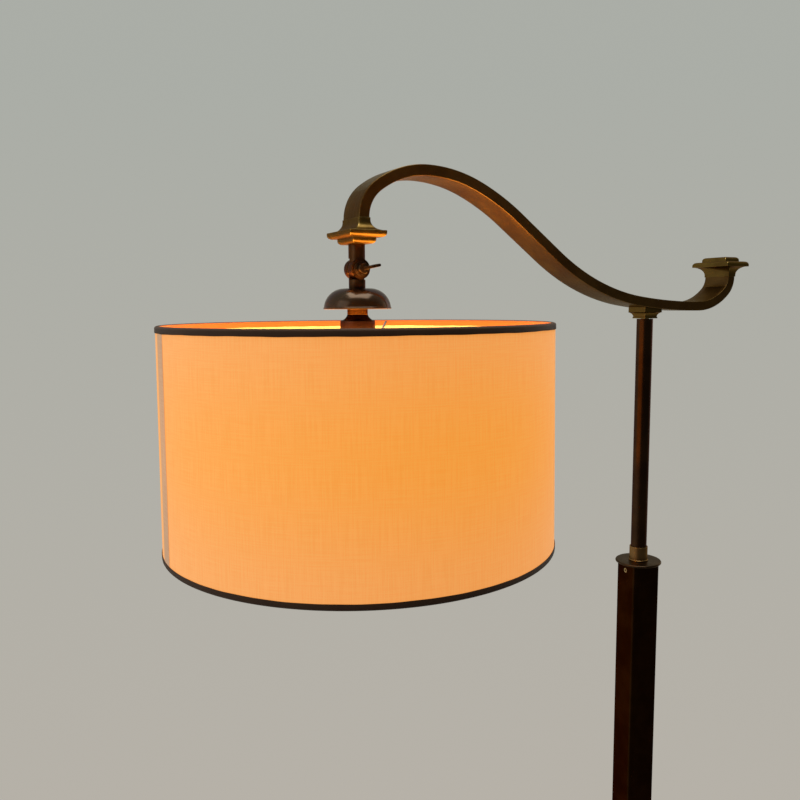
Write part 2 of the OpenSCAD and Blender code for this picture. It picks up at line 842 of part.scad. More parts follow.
module lampholder_shell() {
    color("#2f231b") at_head(nose_low) difference() {
        union() {
            cylinder(r = nose_r, h = holder_nose_h);
            translate([0, 0, holder_nose_h]) cylinder(r = nose_r + 2.5, h = flange_t);
            translate([0, 0, holder_nose_h]) cylinder(d = holder_d, h = holder_shell_h);
        }
        translate([0, 0, -cut])
            cylinder(r = holder_in_r, h = holder_nose_h + holder_shell_h + 2 * cut);
    }
}

sleeve_wall = 0.5;
sleeve_r = bulb_cap_d / 2 + 0.3 + sleeve_wall;
core_low = glass_top + 0.5;
core_neck_h = 3;
sleeve_low = core_low + 0.5;

module lampholder_core() {
    color("#efe9dc") at_head(core_low) difference() {
        cylinder(r = insert_r, h = skirt_low + core_neck_h - core_low);
        translate([0, 0, -cut]) cylinder(r = sleeve_r + seat_gap, h = contact_z - core_low + cut);
        cylinder(r = wire_hole_r, h = 2 * holder_shell_h);
    }
}

module thread_sleeve() {
    color("#c9a24e") at_head(sleeve_low)
        tube(2 * sleeve_r, 2 * (sleeve_r - sleeve_wall), contact_z - 1 - sleeve_low);
}

module centre_contact() {
    color("#c9a24e") at_head(contact_z - 1.6) cylinder(r = 4, h = 1.5);
}

module shade_ring() {
    ring_h = 7;
    color("#2f231b") at_head(hub_top - hub_t - seat_gap - ring_h) {
        tube(2 * (nose_r + 5), 2 * (nose_r + seat_gap), ring_h);
    }
}

module bulb_cap() {
    tip_h = 2;
    color("#c8c6c0") at_head(glass_top) {
        cylinder(d = bulb_cap_d, h = bulb_cap_h - tip_h - 1.5);
        translate([0, 0, bulb_cap_h - tip_h - 1.5])
            cylinder(d1 = bulb_cap_d, d2 = 11, h = 1.5);
        translate([0, 0, bulb_cap_h - tip_h]) cylinder(d = 9, h = tip_h + 0.7);
    }
}

// A straight neck, a cone that meets the globe at a tangent, and the globe
module bulb_outline(inset) {
    neck_r = bulb_cap_d / 2 + 0.9 - inset;
    neck_top = inset > 0 ? cut : 0;
    globe_r = bulb_d / 2 - inset;
    globe_z = -bulb_glass_h + bulb_d / 2;
    cone_z = -bulb_glass_h / 6;
    rise = cone_z - globe_z;
    lean = atan2(rise, neck_r) - acos(globe_r / norm([neck_r, rise]));
    facets = 24;
    polygon(concat([[0, neck_top], [neck_r, neck_top], [neck_r, cone_z]],
        [for (k = [0 : facets]) let(a = lean - (lean + 90) * k / facets)
            [globe_r * cos(a), globe_z + globe_r * sin(a)]]));
}

module bulb_glass() {
    glass_t = 0.9;
    color("#fff6e0") at_head(glass_top - seat_gap) rotate_extrude() difference() {
        bulb_outline(0);
        bulb_outline(glass_t);
    }
}

// ---- Shade ----

ring_z = shade_top - ring_drop;
trim_turn = 1;        // how much further the tape's inner leg reaches
seam_t = 0.4;

module ring(r, z) {
    at_head(z) rotate_extrude($fn = 180) translate([r, 0]) circle(d = ring_wire_d);
}

// The three arms climb from the hub to the top ring
module spider_arms(d, from_r) {
    run = wire_ring_r - from_r;
    rise = ring_z - hub_z;
    for (i = [0 : 2])
        at_head(hub_z) rotate([0, 0, spider_turn + 120 * i]) translate([from_r, 0, 0])
            rotate([0, 90 - atan2(rise, run), 0]) cylinder(d = d, h = norm([run, rise]));
}

module shade_spider() {
    color("#9a968c") {
        ring(wire_ring_r, ring_z);
        spider_arms(spider_wire_d, hub_r - 1.5);
        at_head(hub_top - hub_t) tube(2 * hub_r, 2 * (nose_r + seat_gap), hub_t);
    }
}

module shade_low_wire() {
    color("#9a968c") ring(low_ring_r, shade_low + ring_drop);
}

// Run of the cloth's slope, outward for each unit down
shade_lean = shade_flare / shade_h;
function shade_r(z) = shade_bottom_r - shade_lean * (z - shade_low);

module shade_drum() {
    high = shade_top - trim_t - glue_gap;
    low = shade_low + trim_t + glue_gap;
    color("#f0b48c") at_head(0) rotate_extrude($fn = 180)
        polygon([[shade_r(low) - cloth_t, low], [shade_r(low), low],
            [shade_r(high), high], [shade_r(high) - cloth_t, high]]);
}

// The folded tape over the shade's edge: y = 0 is the edge, the legs go towards -y, and the outer
// one leans with the cloth
module trim_section(r, lean) {
    inner_r = r - cloth_t - ring_wire_d - 2 * glue_gap - trim_t;
    outer_r = r + glue_gap;
    translate([inner_r, -trim_t]) square([outer_r + trim_t - inner_r, trim_t]);
    polygon([[outer_r, 0], [outer_r + lean * trim_h, -trim_h],
        [outer_r + lean * trim_h + trim_t, -trim_h], [outer_r + trim_t, 0]]);
    translate([inner_r, -trim_h - trim_turn]) square([trim_t, trim_h + trim_turn]);
}

module shade_top_trim() {
    color("#4a2f22") difference() {
        at_head(shade_top) rotate_extrude($fn = 180) trim_section(shade_top_r, shade_lean);
        spider_arms(spider_wire_d + 1.5, shade_top_r / 2);
    }
}

module shade_low_trim() {
    color("#4a2f22") at_head(shade_low) mirror([0, 0, 1])
        rotate_extrude($fn = 180) trim_section(shade_bottom_r, -shade_lean);
}

module shade_seam() {
    high = shade_top - trim_h - 2 * glue_gap;
    low = shade_low + trim_h + 2 * glue_gap;
    color("#c9a58a") at_head(0) rotate([0, 0, seam_from])
        rotate_extrude(angle = seam_w / shade_top_r * 180 / PI, $fn = 180)
            polygon([[shade_r(low) + glue_gap, low], [shade_r(low) + glue_gap + seam_t, low],
                [shade_r(high) + glue_gap + seam_t, high], [shade_r(high) + glue_gap, high]]);
}

felt_pad();
base_weight();
base_cover();
cord_inlet();
tie_tube();
tie_nut();
tie_washer();
column_foot();
column_tube();
column_foot_block();
guide_block();
guide_bush();
column_cap();
guide_collar();
lock_screw();
pole_tube();
pole_shoe();
pole_head();
swivel_tube();
swivel_washer();
swivel_nut();
arm_capital();
arm_bar();
shade_end_casting();
rear_finial();
arm_tube();
knuckle_upper();
knuckle_lower();
knuckle_washer();
clamp_screw();
dome_cover();
neck_sleeve();
holder_tube();
lampholder_cap();
lampholder_shell();
lampholder_core();
thread_sleeve();
centre_contact();
shade_ring();
bulb_cap();
bulb_glass();
shade_spider();
shade_low_wire();
shade_drum();
shade_top_trim();
shade_low_trim();
shade_seam();
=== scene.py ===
"""A bridge floor lamp: bronze stand and S-curved arm, with a linen drum shade that hangs beside it.

Sizes are in millimetres in the sub-assemblies below and become metres where a mesh is made. The
finishes and the studio are in metres.
"""

from __future__ import annotations

import json
import logging
import math
from dataclasses import dataclass
from enum import Enum
from typing import Optional, Sequence, Union

import bmesh
import bpy
from mathutils import Matrix, Vector

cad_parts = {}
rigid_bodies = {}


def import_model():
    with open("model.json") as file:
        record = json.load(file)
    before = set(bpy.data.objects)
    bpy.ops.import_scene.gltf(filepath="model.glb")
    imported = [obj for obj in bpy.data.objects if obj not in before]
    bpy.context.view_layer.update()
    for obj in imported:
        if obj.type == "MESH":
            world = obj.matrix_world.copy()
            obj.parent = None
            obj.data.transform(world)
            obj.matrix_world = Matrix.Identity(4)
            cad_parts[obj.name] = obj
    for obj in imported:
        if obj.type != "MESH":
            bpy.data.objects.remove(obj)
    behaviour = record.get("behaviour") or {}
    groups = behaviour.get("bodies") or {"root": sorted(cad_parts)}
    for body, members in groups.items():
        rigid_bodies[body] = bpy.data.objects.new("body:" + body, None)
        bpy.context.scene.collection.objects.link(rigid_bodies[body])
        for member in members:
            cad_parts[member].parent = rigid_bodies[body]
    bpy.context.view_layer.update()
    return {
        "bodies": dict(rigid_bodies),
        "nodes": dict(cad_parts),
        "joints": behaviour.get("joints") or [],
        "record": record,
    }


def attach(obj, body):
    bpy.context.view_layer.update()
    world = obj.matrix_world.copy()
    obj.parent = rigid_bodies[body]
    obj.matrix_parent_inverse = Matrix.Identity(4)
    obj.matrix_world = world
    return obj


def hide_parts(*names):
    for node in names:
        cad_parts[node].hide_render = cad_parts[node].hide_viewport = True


LOG = logging.getLogger("lamp")
MM = 0.001
BASE_TURN = math.radians(-10.4)
WEAR = "wear"
CLOTH_MAP = "cloth"

Colour = tuple[float, float, float]
Pair = tuple[float, float]
Numbers = Sequence[float]
Piece = bpy.types.Object
Socket = bpy.types.NodeSocket
Value = Union[float, int, bool, Colour, Socket, Vector, tuple]


class Body(Enum):
    """The rigid bodies that pieces ride on."""

    STAND = "stand"
    LOCK = "lock_screw"
    POLE = "pole"
    ARM = "arm"
    HEAD = "head"
    CLAMP = "clamp_screw"


# ---------------------------------------------------------------- node sheets


class Sheet:
    """Adds and joins nodes in one node tree."""

    def __init__(self, tree: bpy.types.NodeTree) -> None:
        """Keeps the tree that gets the nodes."""
        self.tree = tree

    def node(self, kind: str, inputs: Optional[dict] = None, **settings: object) -> bpy.types.Node:
        """Adds one node.

        Args:
            kind: Blender's type name of the node.
            inputs: values or sockets by the input's name or number.
            settings: the node's own properties.

        Returns:
            The new node.
        """
        node = self.tree.nodes.new(kind)
        for key, value in settings.items():
            setattr(node, key, value)
        for key, value in (inputs or {}).items():
            self.put(node.inputs[key], value)
        return node

    def add(self, kind: str, inputs: Optional[dict] = None, **settings: object) -> Socket:
        """Adds one node, as node() does, and returns its first output."""
        return self.node(kind, inputs, **settings).outputs[0]

    def put(self, target: Socket, value: Value) -> None:
        """Joins a socket to an input, or sets the input's plain value.

        Args:
            target: the input.
            value: a socket, number, vector or colour.
        """
        if isinstance(value, bpy.types.NodeSocket):
            self.tree.links.new(value, target)
        elif target.type == "RGBA" and len(value) == 3:
            target.default_value = (*value, 1.0)
        else:
            target.default_value = value

    def parts(self, vector: Socket) -> Sequence[Socket]:
        """Splits a vector into its three numbers."""
        return self.node("ShaderNodeSeparateXYZ", {0: vector}).outputs

    def maths(self, operation: str, *terms: Value, clamp: bool = False) -> Socket:
        """Does one sum on numbers, and may keep the result within 0 and 1."""
        return self.add("ShaderNodeMath", dict(enumerate(terms)), operation=operation, use_clamp=clamp)

    def times(self, a: Value, b: Value) -> Socket:
        """Multiplies two numbers."""
        return self.maths("MULTIPLY", a, b)

    def plus(self, a: Value, b: Value) -> Socket:
        """Adds two numbers."""
        return self.maths("ADD", a, b)

    def between(
        self, value: Socket, low: float, high: float, to: Pair = (0.0, 1.0), style: str = "SMOOTHSTEP"
    ) -> Socket:
        """Maps a range of a value to another range.

        Args:
            value: the value.
            low: where the range starts.
            high: where it ends.
            to: what its start and its end become.
            style: the Map Range node's interpolation, with soft ends unless told otherwise.

        Returns:
            The mapped value.
        """
        ends = {"From Min": low, "From Max": high, "To Min": to[0], "To Max": to[1]}
        return self.add("ShaderNodeMapRange", {"Value": value, **ends}, interpolation_type=style)

    def blend(self, share: Value, a: Value, b: Value) -> Socket:
        """Mixes two colours: a share of 0 gives a, and 1 gives b."""
        return self.node("ShaderNodeMix", {0: share, 6: a, 7: b}, data_type="RGBA").outputs[2]


class ShaderSheet(Sheet):
    """The nodes of one material, around its Principled shader."""

    def __init__(self, name: str) -> None:
        """Makes the material and names it."""
        self.material = bpy.data.materials.new(name)
        self.material.use_nodes = True
        super().__init__(self.material.node_tree)
        self.shader = self.tree.nodes["Principled BSDF"]
        self.place = self.node("ShaderNodeTexCoord").outputs["Object"]

    def surface(self, **values: Value) -> None:
        """Sets the shader's inputs by name, with underscores for spaces."""
        for key, value in values.items():
            self.put(self.shader.inputs[key.replace("_", " ")], value)

    def noise(
        self, scale: float, detail: float = 4.0, rough: float = 0.6, source: Optional[Socket] = None
    ) -> Socket:
        """Adds cloudy noise from 0 to 1.

        Args:
            scale: how many blotches to the metre, about.
            detail: octaves.
            rough: share of the fine octaves.
            source: coordinates to use in place of the object's own.

        Returns:
            The noise.
        """
        place = self.place if source is None else source
        shape = {"Vector": place, "Scale": scale, "Detail": detail, "Roughness": rough}
        return self.add("ShaderNodeTexNoise", shape)

    def streaks(self, blotches: Numbers, detail: float = 3.0, source: Optional[Socket] = None) -> Socket:
        """Adds noise that is drawn out along an axis.

        Args:
            blotches: how many blotches to the metre along each axis.
            detail: octaves.
            source: coordinates to use in place of the object's own.

        Returns:
            The noise.
        """
        place = self.place if source is None else source
        drawn = self.add("ShaderNodeMapping", {"Vector": place, "Scale": tuple(blotches)})
        return self.noise(1.0, detail, source=drawn)

    def cloth_map(self) -> Socket:
        """Returns the cloth's flat coordinates in metres."""
        return self.add("ShaderNodeUVMap", uv_map=CLOTH_MAP)

    def threads(self, along: Socket, pitch: float) -> Socket:
        """Returns a wave from -1 to 1 with one crest for each thread of a pitch in metres."""
        return self.maths("SINE", self.times(along, 2 * math.pi / pitch))

    def relief(self, height: Socket, depth_mm: float, strength: float) -> None:
        """Gives the surface a fine relief from a height of 0 to 1."""
        bump = self.add("ShaderNodeBump", {"Height": height, "Distance": depth_mm * MM, "Strength": strength})
        self.put(self.shader.inputs["Normal"], bump)

    def worn(self) -> tuple[Socket, Socket]:
        """Returns the rubbed share and the grimy share of the surface, both from 0 to 1."""
        wear = self.node("ShaderNodeAttribute", attribute_name=WEAR).outputs["Fac"]
        return self.maths("MAXIMUM", wear, 0.0), self.maths("MAXIMUM", self.times(wear, -1.0), 0.0)


# ------------------------------------------------------------------- finishes


@dataclass(frozen=True)
class Finish:
    """A surface finish and the record's slot that it belongs to."""

    name: str
    slot: str

    def material(self) -> bpy.types.Material:
        """Returns the finish's material, made at its first use."""
        found = bpy.data.materials.get(self.name)
        if found is None:
            sheet = ShaderSheet(self.name)
            self.dress(sheet)
            found = sheet.material
        return found

    def dress(self, sheet: ShaderSheet) -> None:
        """Fills the material's nodes."""
        raise NotImplementedError


@dataclass(frozen=True)
class AgedMetal(Finish):
    """Patinated metal: cloudy brown tone, rubbed edges, grimy hollows and a few rubbed patches."""

    patina: Colour
    cloud: Colour
    rubbed: Colour
    grime: Colour = (0.012, 0.008, 0.005)
    grazing: Colour = (0.45, 0.33, 0.20)
    roughness: Pair = (0.30, 0.48)
    edge_share: float = 0.7
    patch_from: float = 0.72
    lacquer: float = 0.2
    metal: float = 1.0
    grain: float = 0.5

    def dress(self, sheet: ShaderSheet) -> None:
        """Fills the material's nodes.

        Args:
            sheet: the material's sheet.
        """
        clouds = sheet.noise(28, 5)
        specks = sheet.noise(420, 4, 0.65)
        streaks = sheet.streaks((260, 260, 18))
        rubbed, grimy = sheet.worn()
        tone = sheet.blend(sheet.between(clouds, 0.36, 0.66), self.patina, self.cloud)
        tone = sheet.blend(sheet.between(specks, 0.58, 0.74, (0.0, 0.9 * self.grain)), tone, self.grime)
        broken = sheet.between(sheet.plus(clouds, specks), 0.82, 1.12)
        edge = sheet.times(sheet.times(rubbed, broken), self.edge_share)
        patch = sheet.between(sheet.noise(16, 6, 0.62), self.patch_from, self.patch_from + 0.06, (0.0, 0.6))
        bright = sheet.maths("MAXIMUM", edge, patch, clamp=True)
        tone = sheet.blend(bright, tone, self.rubbed)
        tone = sheet.blend(sheet.times(grimy, 0.8), tone, self.grime)
        uneven = sheet.plus(sheet.times(streaks, 0.5), sheet.times(specks, 0.5))
        rough = sheet.between(uneven, 0.3, 0.7, self.roughness)
        rough = sheet.maths("SUBTRACT", rough, sheet.times(bright, 0.08))
        sheet.surface(
            Base_Color=tone, Metallic=self.metal, Roughness=rough, Specular_Tint=self.grazing,
            Coat_Weight=self.lacquer, Coat_Roughness=0.18,
        )
        sheet.relief(specks, 0.05, self.grain)


@dataclass(frozen=True)
class PlainMetal(Finish):
    """Bare turned or drawn metal with fine machining lines."""

    tone: Colour = (0.55, 0.54, 0.50)
    stain: Colour = (0.34, 0.32, 0.28)
    roughness: Pair = (0.26, 0.42)
    lines: Numbers = (60, 60, 2400)

    def dress(self, sheet: ShaderSheet) -> None:
        """Fills the material's nodes.

        Args:
            sheet: the material's sheet.
        """
        lines = sheet.streaks(self.lines)
        stains = sheet.noise(70, 5)
        tone = sheet.blend(sheet.between(stains, 0.46, 0.72, (0.0, 0.7)), self.tone, self.stain)
        uneven = sheet.plus(sheet.times(lines, 0.6), sheet.times(stains, 0.4))
        rough = sheet.between(uneven, 0.35, 0.65, self.roughness)
        sheet.surface(Base_Color=tone, Metallic=1.0, Roughness=rough)
        sheet.relief(lines, 0.03, 0.4)


@dataclass(frozen=True)
class Moulded(Finish):
    """Moulded, glazed, cast or pressed stuff with a fine grain."""

    tone: Colour = (0.80, 0.78, 0.70)
    second: Colour = (0.68, 0.65, 0.56)
    roughness: float = 0.45
    grain: float = 600
    depth: float = 0.05
    metal: float = 0.0
    gloss_coat: float = 0.0

    def dress(self, sheet: ShaderSheet) -> None:
        """Fills the material's nodes.

        Args:
            sheet: the material's sheet.
        """
        grain = sheet.noise(self.grain, 3)
        sheet.surface(
            Base_Color=sheet.blend(sheet.between(sheet.noise(60), 0.35, 0.7), self.tone, self.second),
            Roughness=sheet.between(grain, 0.3, 0.7, (self.roughness * 0.85, self.roughness * 1.15)),
            Metallic=self.metal, Coat_Weight=self.gloss_coat, Coat_Roughness=0.06,
        )
        sheet.relief(grain, self.depth, 0.6)


@dataclass(frozen=True)
class Felt(Finish):
    """Short matted fibres."""

    def dress(self, sheet: ShaderSheet) -> None:
        """Fills the material's nodes.

        Args:
            sheet: the material's sheet.
        """
        fibres = sheet.noise(1500, 6, 0.75)
        tone = sheet.blend(sheet.between(fibres, 0.35, 0.65), (0.035, 0.03, 0.026), (0.085, 0.078, 0.066))
        sheet.surface(Base_Color=tone, Roughness=0.95, Sheen_Weight=0.4, Sheen_Roughness=0.6)
        sheet.relief(sheet.plus(fibres, sheet.noise(180)), 0.4, 0.7)


@dataclass(frozen=True)
class Linen(Finish):
    """Woven shade cloth; the bulb's light through it is painted on as an emission glow."""

    cloth: Colour = (0.66, 0.45, 0.27)
    slub: Colour = (0.57, 0.375, 0.21)
    # painted light: the glow colours and strength stand for the bulb's light shining through the cloth;
    # glow_thick is painted shade where the yarn is thick
    glow: Colour = (0.80, 0.268, 0.010)
    glow_pale: Colour = (0.77, 0.278, 0.050)
    glow_thick: Colour = (0.52, 0.15, 0.01)
    strength: float = 1.01
    bulb_z: float = 1.195
    pitch: float = 0.00075

    def dress(self, sheet: ShaderSheet) -> None:
        """Fills the material's nodes.

        Args:
            sheet: the material's sheet.
        """
        flat = sheet.cloth_map()
        warp, weft, _ = sheet.parts(flat)
        over = sheet.times(sheet.threads(warp, self.pitch), sheet.threads(weft, self.pitch))
        warp_slubs = sheet.streaks((850, 24, 1), 4, flat)
        weft_slubs = sheet.streaks((30, 900, 1), 4, flat)
        slubs = sheet.plus(sheet.times(warp_slubs, 0.58), sheet.times(weft_slubs, 0.42))
        thick = sheet.between(sheet.plus(slubs, sheet.times(over, 0.02)), 0.40, 0.62)
        # painted hot spot: the painted glow is more saturated at the bulb's height and paler away from it
        away = sheet.maths("ABSOLUTE", sheet.maths("SUBTRACT", sheet.parts(sheet.place)[2], self.bulb_z))
        light = sheet.blend(sheet.between(away, 0.0, 0.13, (1.0, 0.0)), self.glow_pale, self.glow)
        sheet.surface(
            Base_Color=sheet.blend(thick, self.cloth, self.slub), Roughness=0.9,
            Sheen_Weight=0.15, Sheen_Roughness=0.5, Emission_Strength=self.strength,
            Emission_Color=sheet.blend(sheet.times(thick, 0.09), light, self.glow_thick),
        )
        sheet.relief(sheet.plus(slubs, sheet.times(over, 0.12)), 0.12, 0.6)


@dataclass(frozen=True)
class Tape(Finish):
    """Ribbed woven tape that edges the shade."""

    tone: Colour = (0.052, 0.019, 0.005)
    second: Colour = (0.085, 0.034, 0.010)
    # painted light: glow and strength paint the bulb's light onto the tape's lit copy inside the shade
    glow: Colour = (0.0, 0.0, 0.0)
    strength: float = 0.0
    pitch: float = 0.0009

    def dress(self, sheet: ShaderSheet) -> None:
        """Fills the material's nodes.

        Args:
            sheet: the material's sheet.
        """
        flat = sheet.cloth_map()
        ribs = sheet.plus(sheet.times(sheet.threads(sheet.parts(flat)[0], self.pitch), 0.5), 0.5)
        woven = sheet.plus(ribs, sheet.streaks((1400, 300, 1), 4, flat))
        share = sheet.times(woven, sheet.between(sheet.noise(40, 3, 0.5), 0.3, 0.7, (0.25, 0.6)))
        sheet.surface(
            Base_Color=sheet.blend(share, self.tone, self.second), Roughness=0.75,
            Sheen_Weight=0.08, Sheen_Roughness=0.4, Emission_Color=self.glow, Emission_Strength=self.strength,
        )
        sheet.relief(woven, 0.12, 0.7)


@dataclass(frozen=True)
class LitGlass(Finish):
    """Frosted bulb glass, brightest on its globe and dimmer at its neck."""

    bright: Colour = (1.0, 0.80, 0.42)
    dim: Colour = (0.85, 0.52, 0.20)
    neck_z: Pair = (1.215, 1.245)

    def dress(self, sheet: ShaderSheet) -> None:
        """Fills the material's nodes.

        Args:
            sheet: the material's sheet.
        """
        frost = sheet.noise(900, 3)
        neck = sheet.between(sheet.parts(sheet.place)[2], *self.neck_z)
        sheet.surface(
            Base_Color=sheet.blend(sheet.between(frost, 0.3, 0.7), (0.86, 0.84, 0.78), (0.80, 0.77, 0.70)),
            Roughness=0.35, Emission_Strength=1.6,
            Emission_Color=sheet.blend(neck, self.bright, self.dim),
        )
        sheet.relief(frost, 0.02, 0.4)


class Finishes:
    """The lamp's finishes."""

    BRONZE = AgedMetal(
        "antique bronze", "antique_bronze", (0.11, 0.052, 0.011), (0.15, 0.078, 0.020), (0.34, 0.22, 0.07),
        edge_share=0.5, patch_from=0.86, lacquer=0.12, metal=0.9, grazing=(0.46, 0.42, 0.28),
    )
    BRASS_EDGE = AgedMetal(
        "olive brass", "antique_bronze", (0.12, 0.07, 0.014), (0.18, 0.11, 0.024), (0.46, 0.33, 0.11),
        edge_share=0.8, roughness=(0.26, 0.42), lacquer=0.1, metal=0.9,
    )
    COLUMN = AgedMetal(
        "dark bronze", "dark_bronze", (0.028, 0.011, 0.003), (0.044, 0.018, 0.006), (0.22, 0.11, 0.035),
        edge_share=0.4, patch_from=0.84, roughness=(0.34, 0.5), lacquer=0.0,
    )
    POLE = AgedMetal(
        "bronze pole", "bronze_pole", (0.045, 0.019, 0.006), (0.075, 0.034, 0.011), (0.28, 0.15, 0.05),
        patch_from=0.82, roughness=(0.24, 0.38),
    )
    WORN = AgedMetal(
        "worn brass", "worn_brass", (0.22, 0.115, 0.035), (0.30, 0.17, 0.06), (0.62, 0.43, 0.17),
        edge_share=0.8, patch_from=0.66, roughness=(0.28, 0.44),
    )
    CAP = AgedMetal(
        "browned brass", "worn_brass", (0.05, 0.030, 0.016), (0.08, 0.048, 0.026), (0.3, 0.19, 0.09),
        edge_share=0.6, patch_from=0.86, roughness=(0.3, 0.44), lacquer=0.1, grazing=(0.7, 0.62, 0.54),
    )
    KNUCKLE = AgedMetal(
        "knuckle bronze", "antique_bronze", (0.05, 0.021, 0.007), (0.08, 0.036, 0.012), (0.36, 0.19, 0.06),
        edge_share=0.6, patch_from=0.8, roughness=(0.28, 0.4), lacquer=0.1, metal=0.9,
    )
    GLOSS = AgedMetal(
        "gloss bronze", "gloss_bronze", (0.045, 0.024, 0.010), (0.06, 0.033, 0.014), (0.3, 0.17, 0.07),
        edge_share=0.5, patch_from=1.0, roughness=(0.2, 0.26), lacquer=0.5, metal=0.85, grain=0.06,
    )
    # Painted shade: a darker copy of the worn brass, darkened to offset the strong bulb light that falls on
    # the neck.
    NECK_SHADED_BRASS = AgedMetal(
        "neck bronze", "worn_brass", (0.07, 0.026, 0.005), (0.10, 0.04, 0.009), (0.3, 0.16, 0.05),
        edge_share=0.5, patch_from=0.9, roughness=(0.3, 0.42), lacquer=0.0,
    )
    # Very dark brown: partly the holder's own tone and partly painted shade for the dim light under the dome.
    HOLDER = AgedMetal(
        "holder bronze", "holder_bronze", (0.03, 0.012, 0.008), (0.05, 0.02, 0.012), (0.22, 0.12, 0.06),
        edge_share=0.5, patch_from=0.85, roughness=(0.35, 0.5),
    )
    ZINC = PlainMetal("zinc", "zinc_steel")
    WIRE = PlainMetal("zinc wire", "zinc_wire", (0.42, 0.41, 0.40), (0.28, 0.27, 0.26), lines=(300, 300, 300))
    MACHINED = PlainMetal("machined brass", "machined_brass", (0.55, 0.39, 0.17), (0.34, 0.22, 0.10))
    CONTACT = PlainMetal("contact brass", "contact_brass", (0.68, 0.5, 0.22), (0.45, 0.3, 0.12))
    CAP_METAL = PlainMetal("bulb cap metal", "cap_metal", (0.70, 0.69, 0.66), (0.5, 0.48, 0.44))
    CAST = Moulded(
        "cast iron", "cast_iron", (0.05, 0.05, 0.052), (0.08, 0.078, 0.075), 0.7,
        grain=500, depth=0.25, metal=0.3,
    )
    NYLON = Moulded("nylon", "nylon")
    CERAMIC = Moulded(
        "glazed ceramic", "ceramic", (0.85, 0.82, 0.74), (0.80, 0.76, 0.68), 0.25, gloss_coat=0.6
    )
    BLACK = Moulded("black plastic", "black_plastic", (0.02, 0.02, 0.02), (0.03, 0.03, 0.03), 0.5)
    FIBRE = Moulded("red fibre", "fibre", (0.16, 0.06, 0.035), (0.11, 0.045, 0.03), 0.75)
    FELT = Felt("felt", "felt")
    LINEN = Linen("shade linen", "shade_linen")
    # Painted light: the lining's emission glow stands for the bulb's light on the shade's inside; its paler
    # base tone is the liner's own.
    LINING = Linen(
        "shade lining", "shade_linen", (0.85, 0.76, 0.58), (0.78, 0.68, 0.50),
        glow=(0.90, 0.52, 0.09), glow_pale=(0.88, 0.45, 0.07), strength=0.7,
    )
    # Painted shade: a darker, dimmer-glowing copy of the linen, for the lap's double layer that lets less of
    # the bulb's light through.
    LAP = Linen(
        "shade lap", "shade_linen", (0.62, 0.50, 0.38), (0.5, 0.38, 0.27),
        glow=(0.52, 0.22, 0.08), glow_pale=(0.38, 0.18, 0.08), strength=0.8,
    )
    TAPE = Tape("edge tape", "trim_tape")
    # Painted light: a lighter, orange-glowing copy of the edge tape for its faces inside the shade, standing
    # for the bulb's light on them.
    TAPE_PAINTED_LIT = Tape(
        "edge tape inside", "trim_tape", (0.22, 0.07, 0.02), (0.28, 0.09, 0.03),
        glow=(0.85, 0.13, 0.004), strength=0.75,
    )
    BULB = LitGlass("frosted bulb", "bulb_glass")


# ------------------------------------------------------------------ mesh shop


@dataclass(frozen=True)
class Corner:
    """A corner of a profile: distance out, height, and the rounding of the corner, in millimetres."""

    out: float
    up: float
    soft: float = 0.0


@dataclass(frozen=True)
class Spot:
    """A point of a finished profile, with its wear: 1 rubbed, -1 grimy."""

    out: float
    up: float
    wear: float = 0.0


def spoke(angle: float, length: float) -> Vector:
    """Returns the flat vector of a length at an angle in radians."""
    return Vector((length * math.cos(angle), length * math.sin(angle)))


def arc(out: float, up: float, radius: float, start: float, end: float, steps: int) -> list[Corner]:
    """Lays corners along an arc.

    Args:
        out: the centre's distance out.
        up: the centre's height.
        radius: the arc's radius.
        start: first angle in degrees, from outward towards up.
        end: last angle.
        steps: number of chords.

    Returns:
        The corners, both ends included.
    """
    angles = [math.radians(start + (end - start) * k / steps) for k in range(steps + 1)]
    return [Corner(out + radius * math.cos(a), up + radius * math.sin(a)) for a in angles]


def softened(corners: Sequence[Corner], steps: int = 4) -> list[Spot]:
    """Rounds the corners of a closed profile that ask for it.

    Args:
        corners: the profile's corners, anticlockwise.
        steps: chords in each rounding.

    Returns:
        The profile's points, with rounded outer corners marked as rubbed and inner ones as grimy.
    """
    shortest, most = 1e-6, 0.48
    spots: list[Spot] = []
    for i, corner in enumerate(corners):
        after = corners[(i + 1) % len(corners)]
        here = Vector((corner.out, corner.up))
        back = Vector((corners[i - 1].out, corners[i - 1].up)) - here
        ahead = Vector((after.out, after.up)) - here
        if corner.soft <= 0 or back.length < shortest or ahead.length < shortest:
            spots.append(Spot(corner.out, corner.up))
            continue
        outer = -back.x * ahead.y + back.y * ahead.x > 0
        reach = min(corner.soft / math.tan(back.angle(ahead) / 2), most * back.length, most * ahead.length)
        first, last = here + back.normalized() * reach, here + ahead.normalized() * reach
        for k in range(steps + 1):
            t = k / steps
            point = (1 - t) ** 2 * first + 2 * t * (1 - t) * here + t * t * last
            spots.append(Spot(point.x, point.y, math.sin(math.pi * t) * (1.0 if outer else -1.0)))
    return spots


def linked(name: str, data: bpy.types.ID) -> Piece:
    """Puts a mesh, light or camera into the scene as an object."""
    piece = bpy.data.objects.new(name, data)
    bpy.context.scene.collection.objects.link(piece)
    return piece


def cleaned(mesh: bpy.types.Mesh, weld: float = 0.0) -> None:
    """Turns a mesh's faces outwards.

    Args:
        mesh: the mesh.
        weld: the distance in metres within which points are joined first.
    """
    build = bmesh.new()
    build.from_mesh(mesh)
    if weld:
        bmesh.ops.remove_doubles(build, verts=build.verts, dist=weld)
        bmesh.ops.dissolve_degenerate(build, edges=build.edges, dist=weld)
    bmesh.ops.recalc_face_normals(build, faces=build.faces)
    build.to_mesh(mesh)
    build.free()


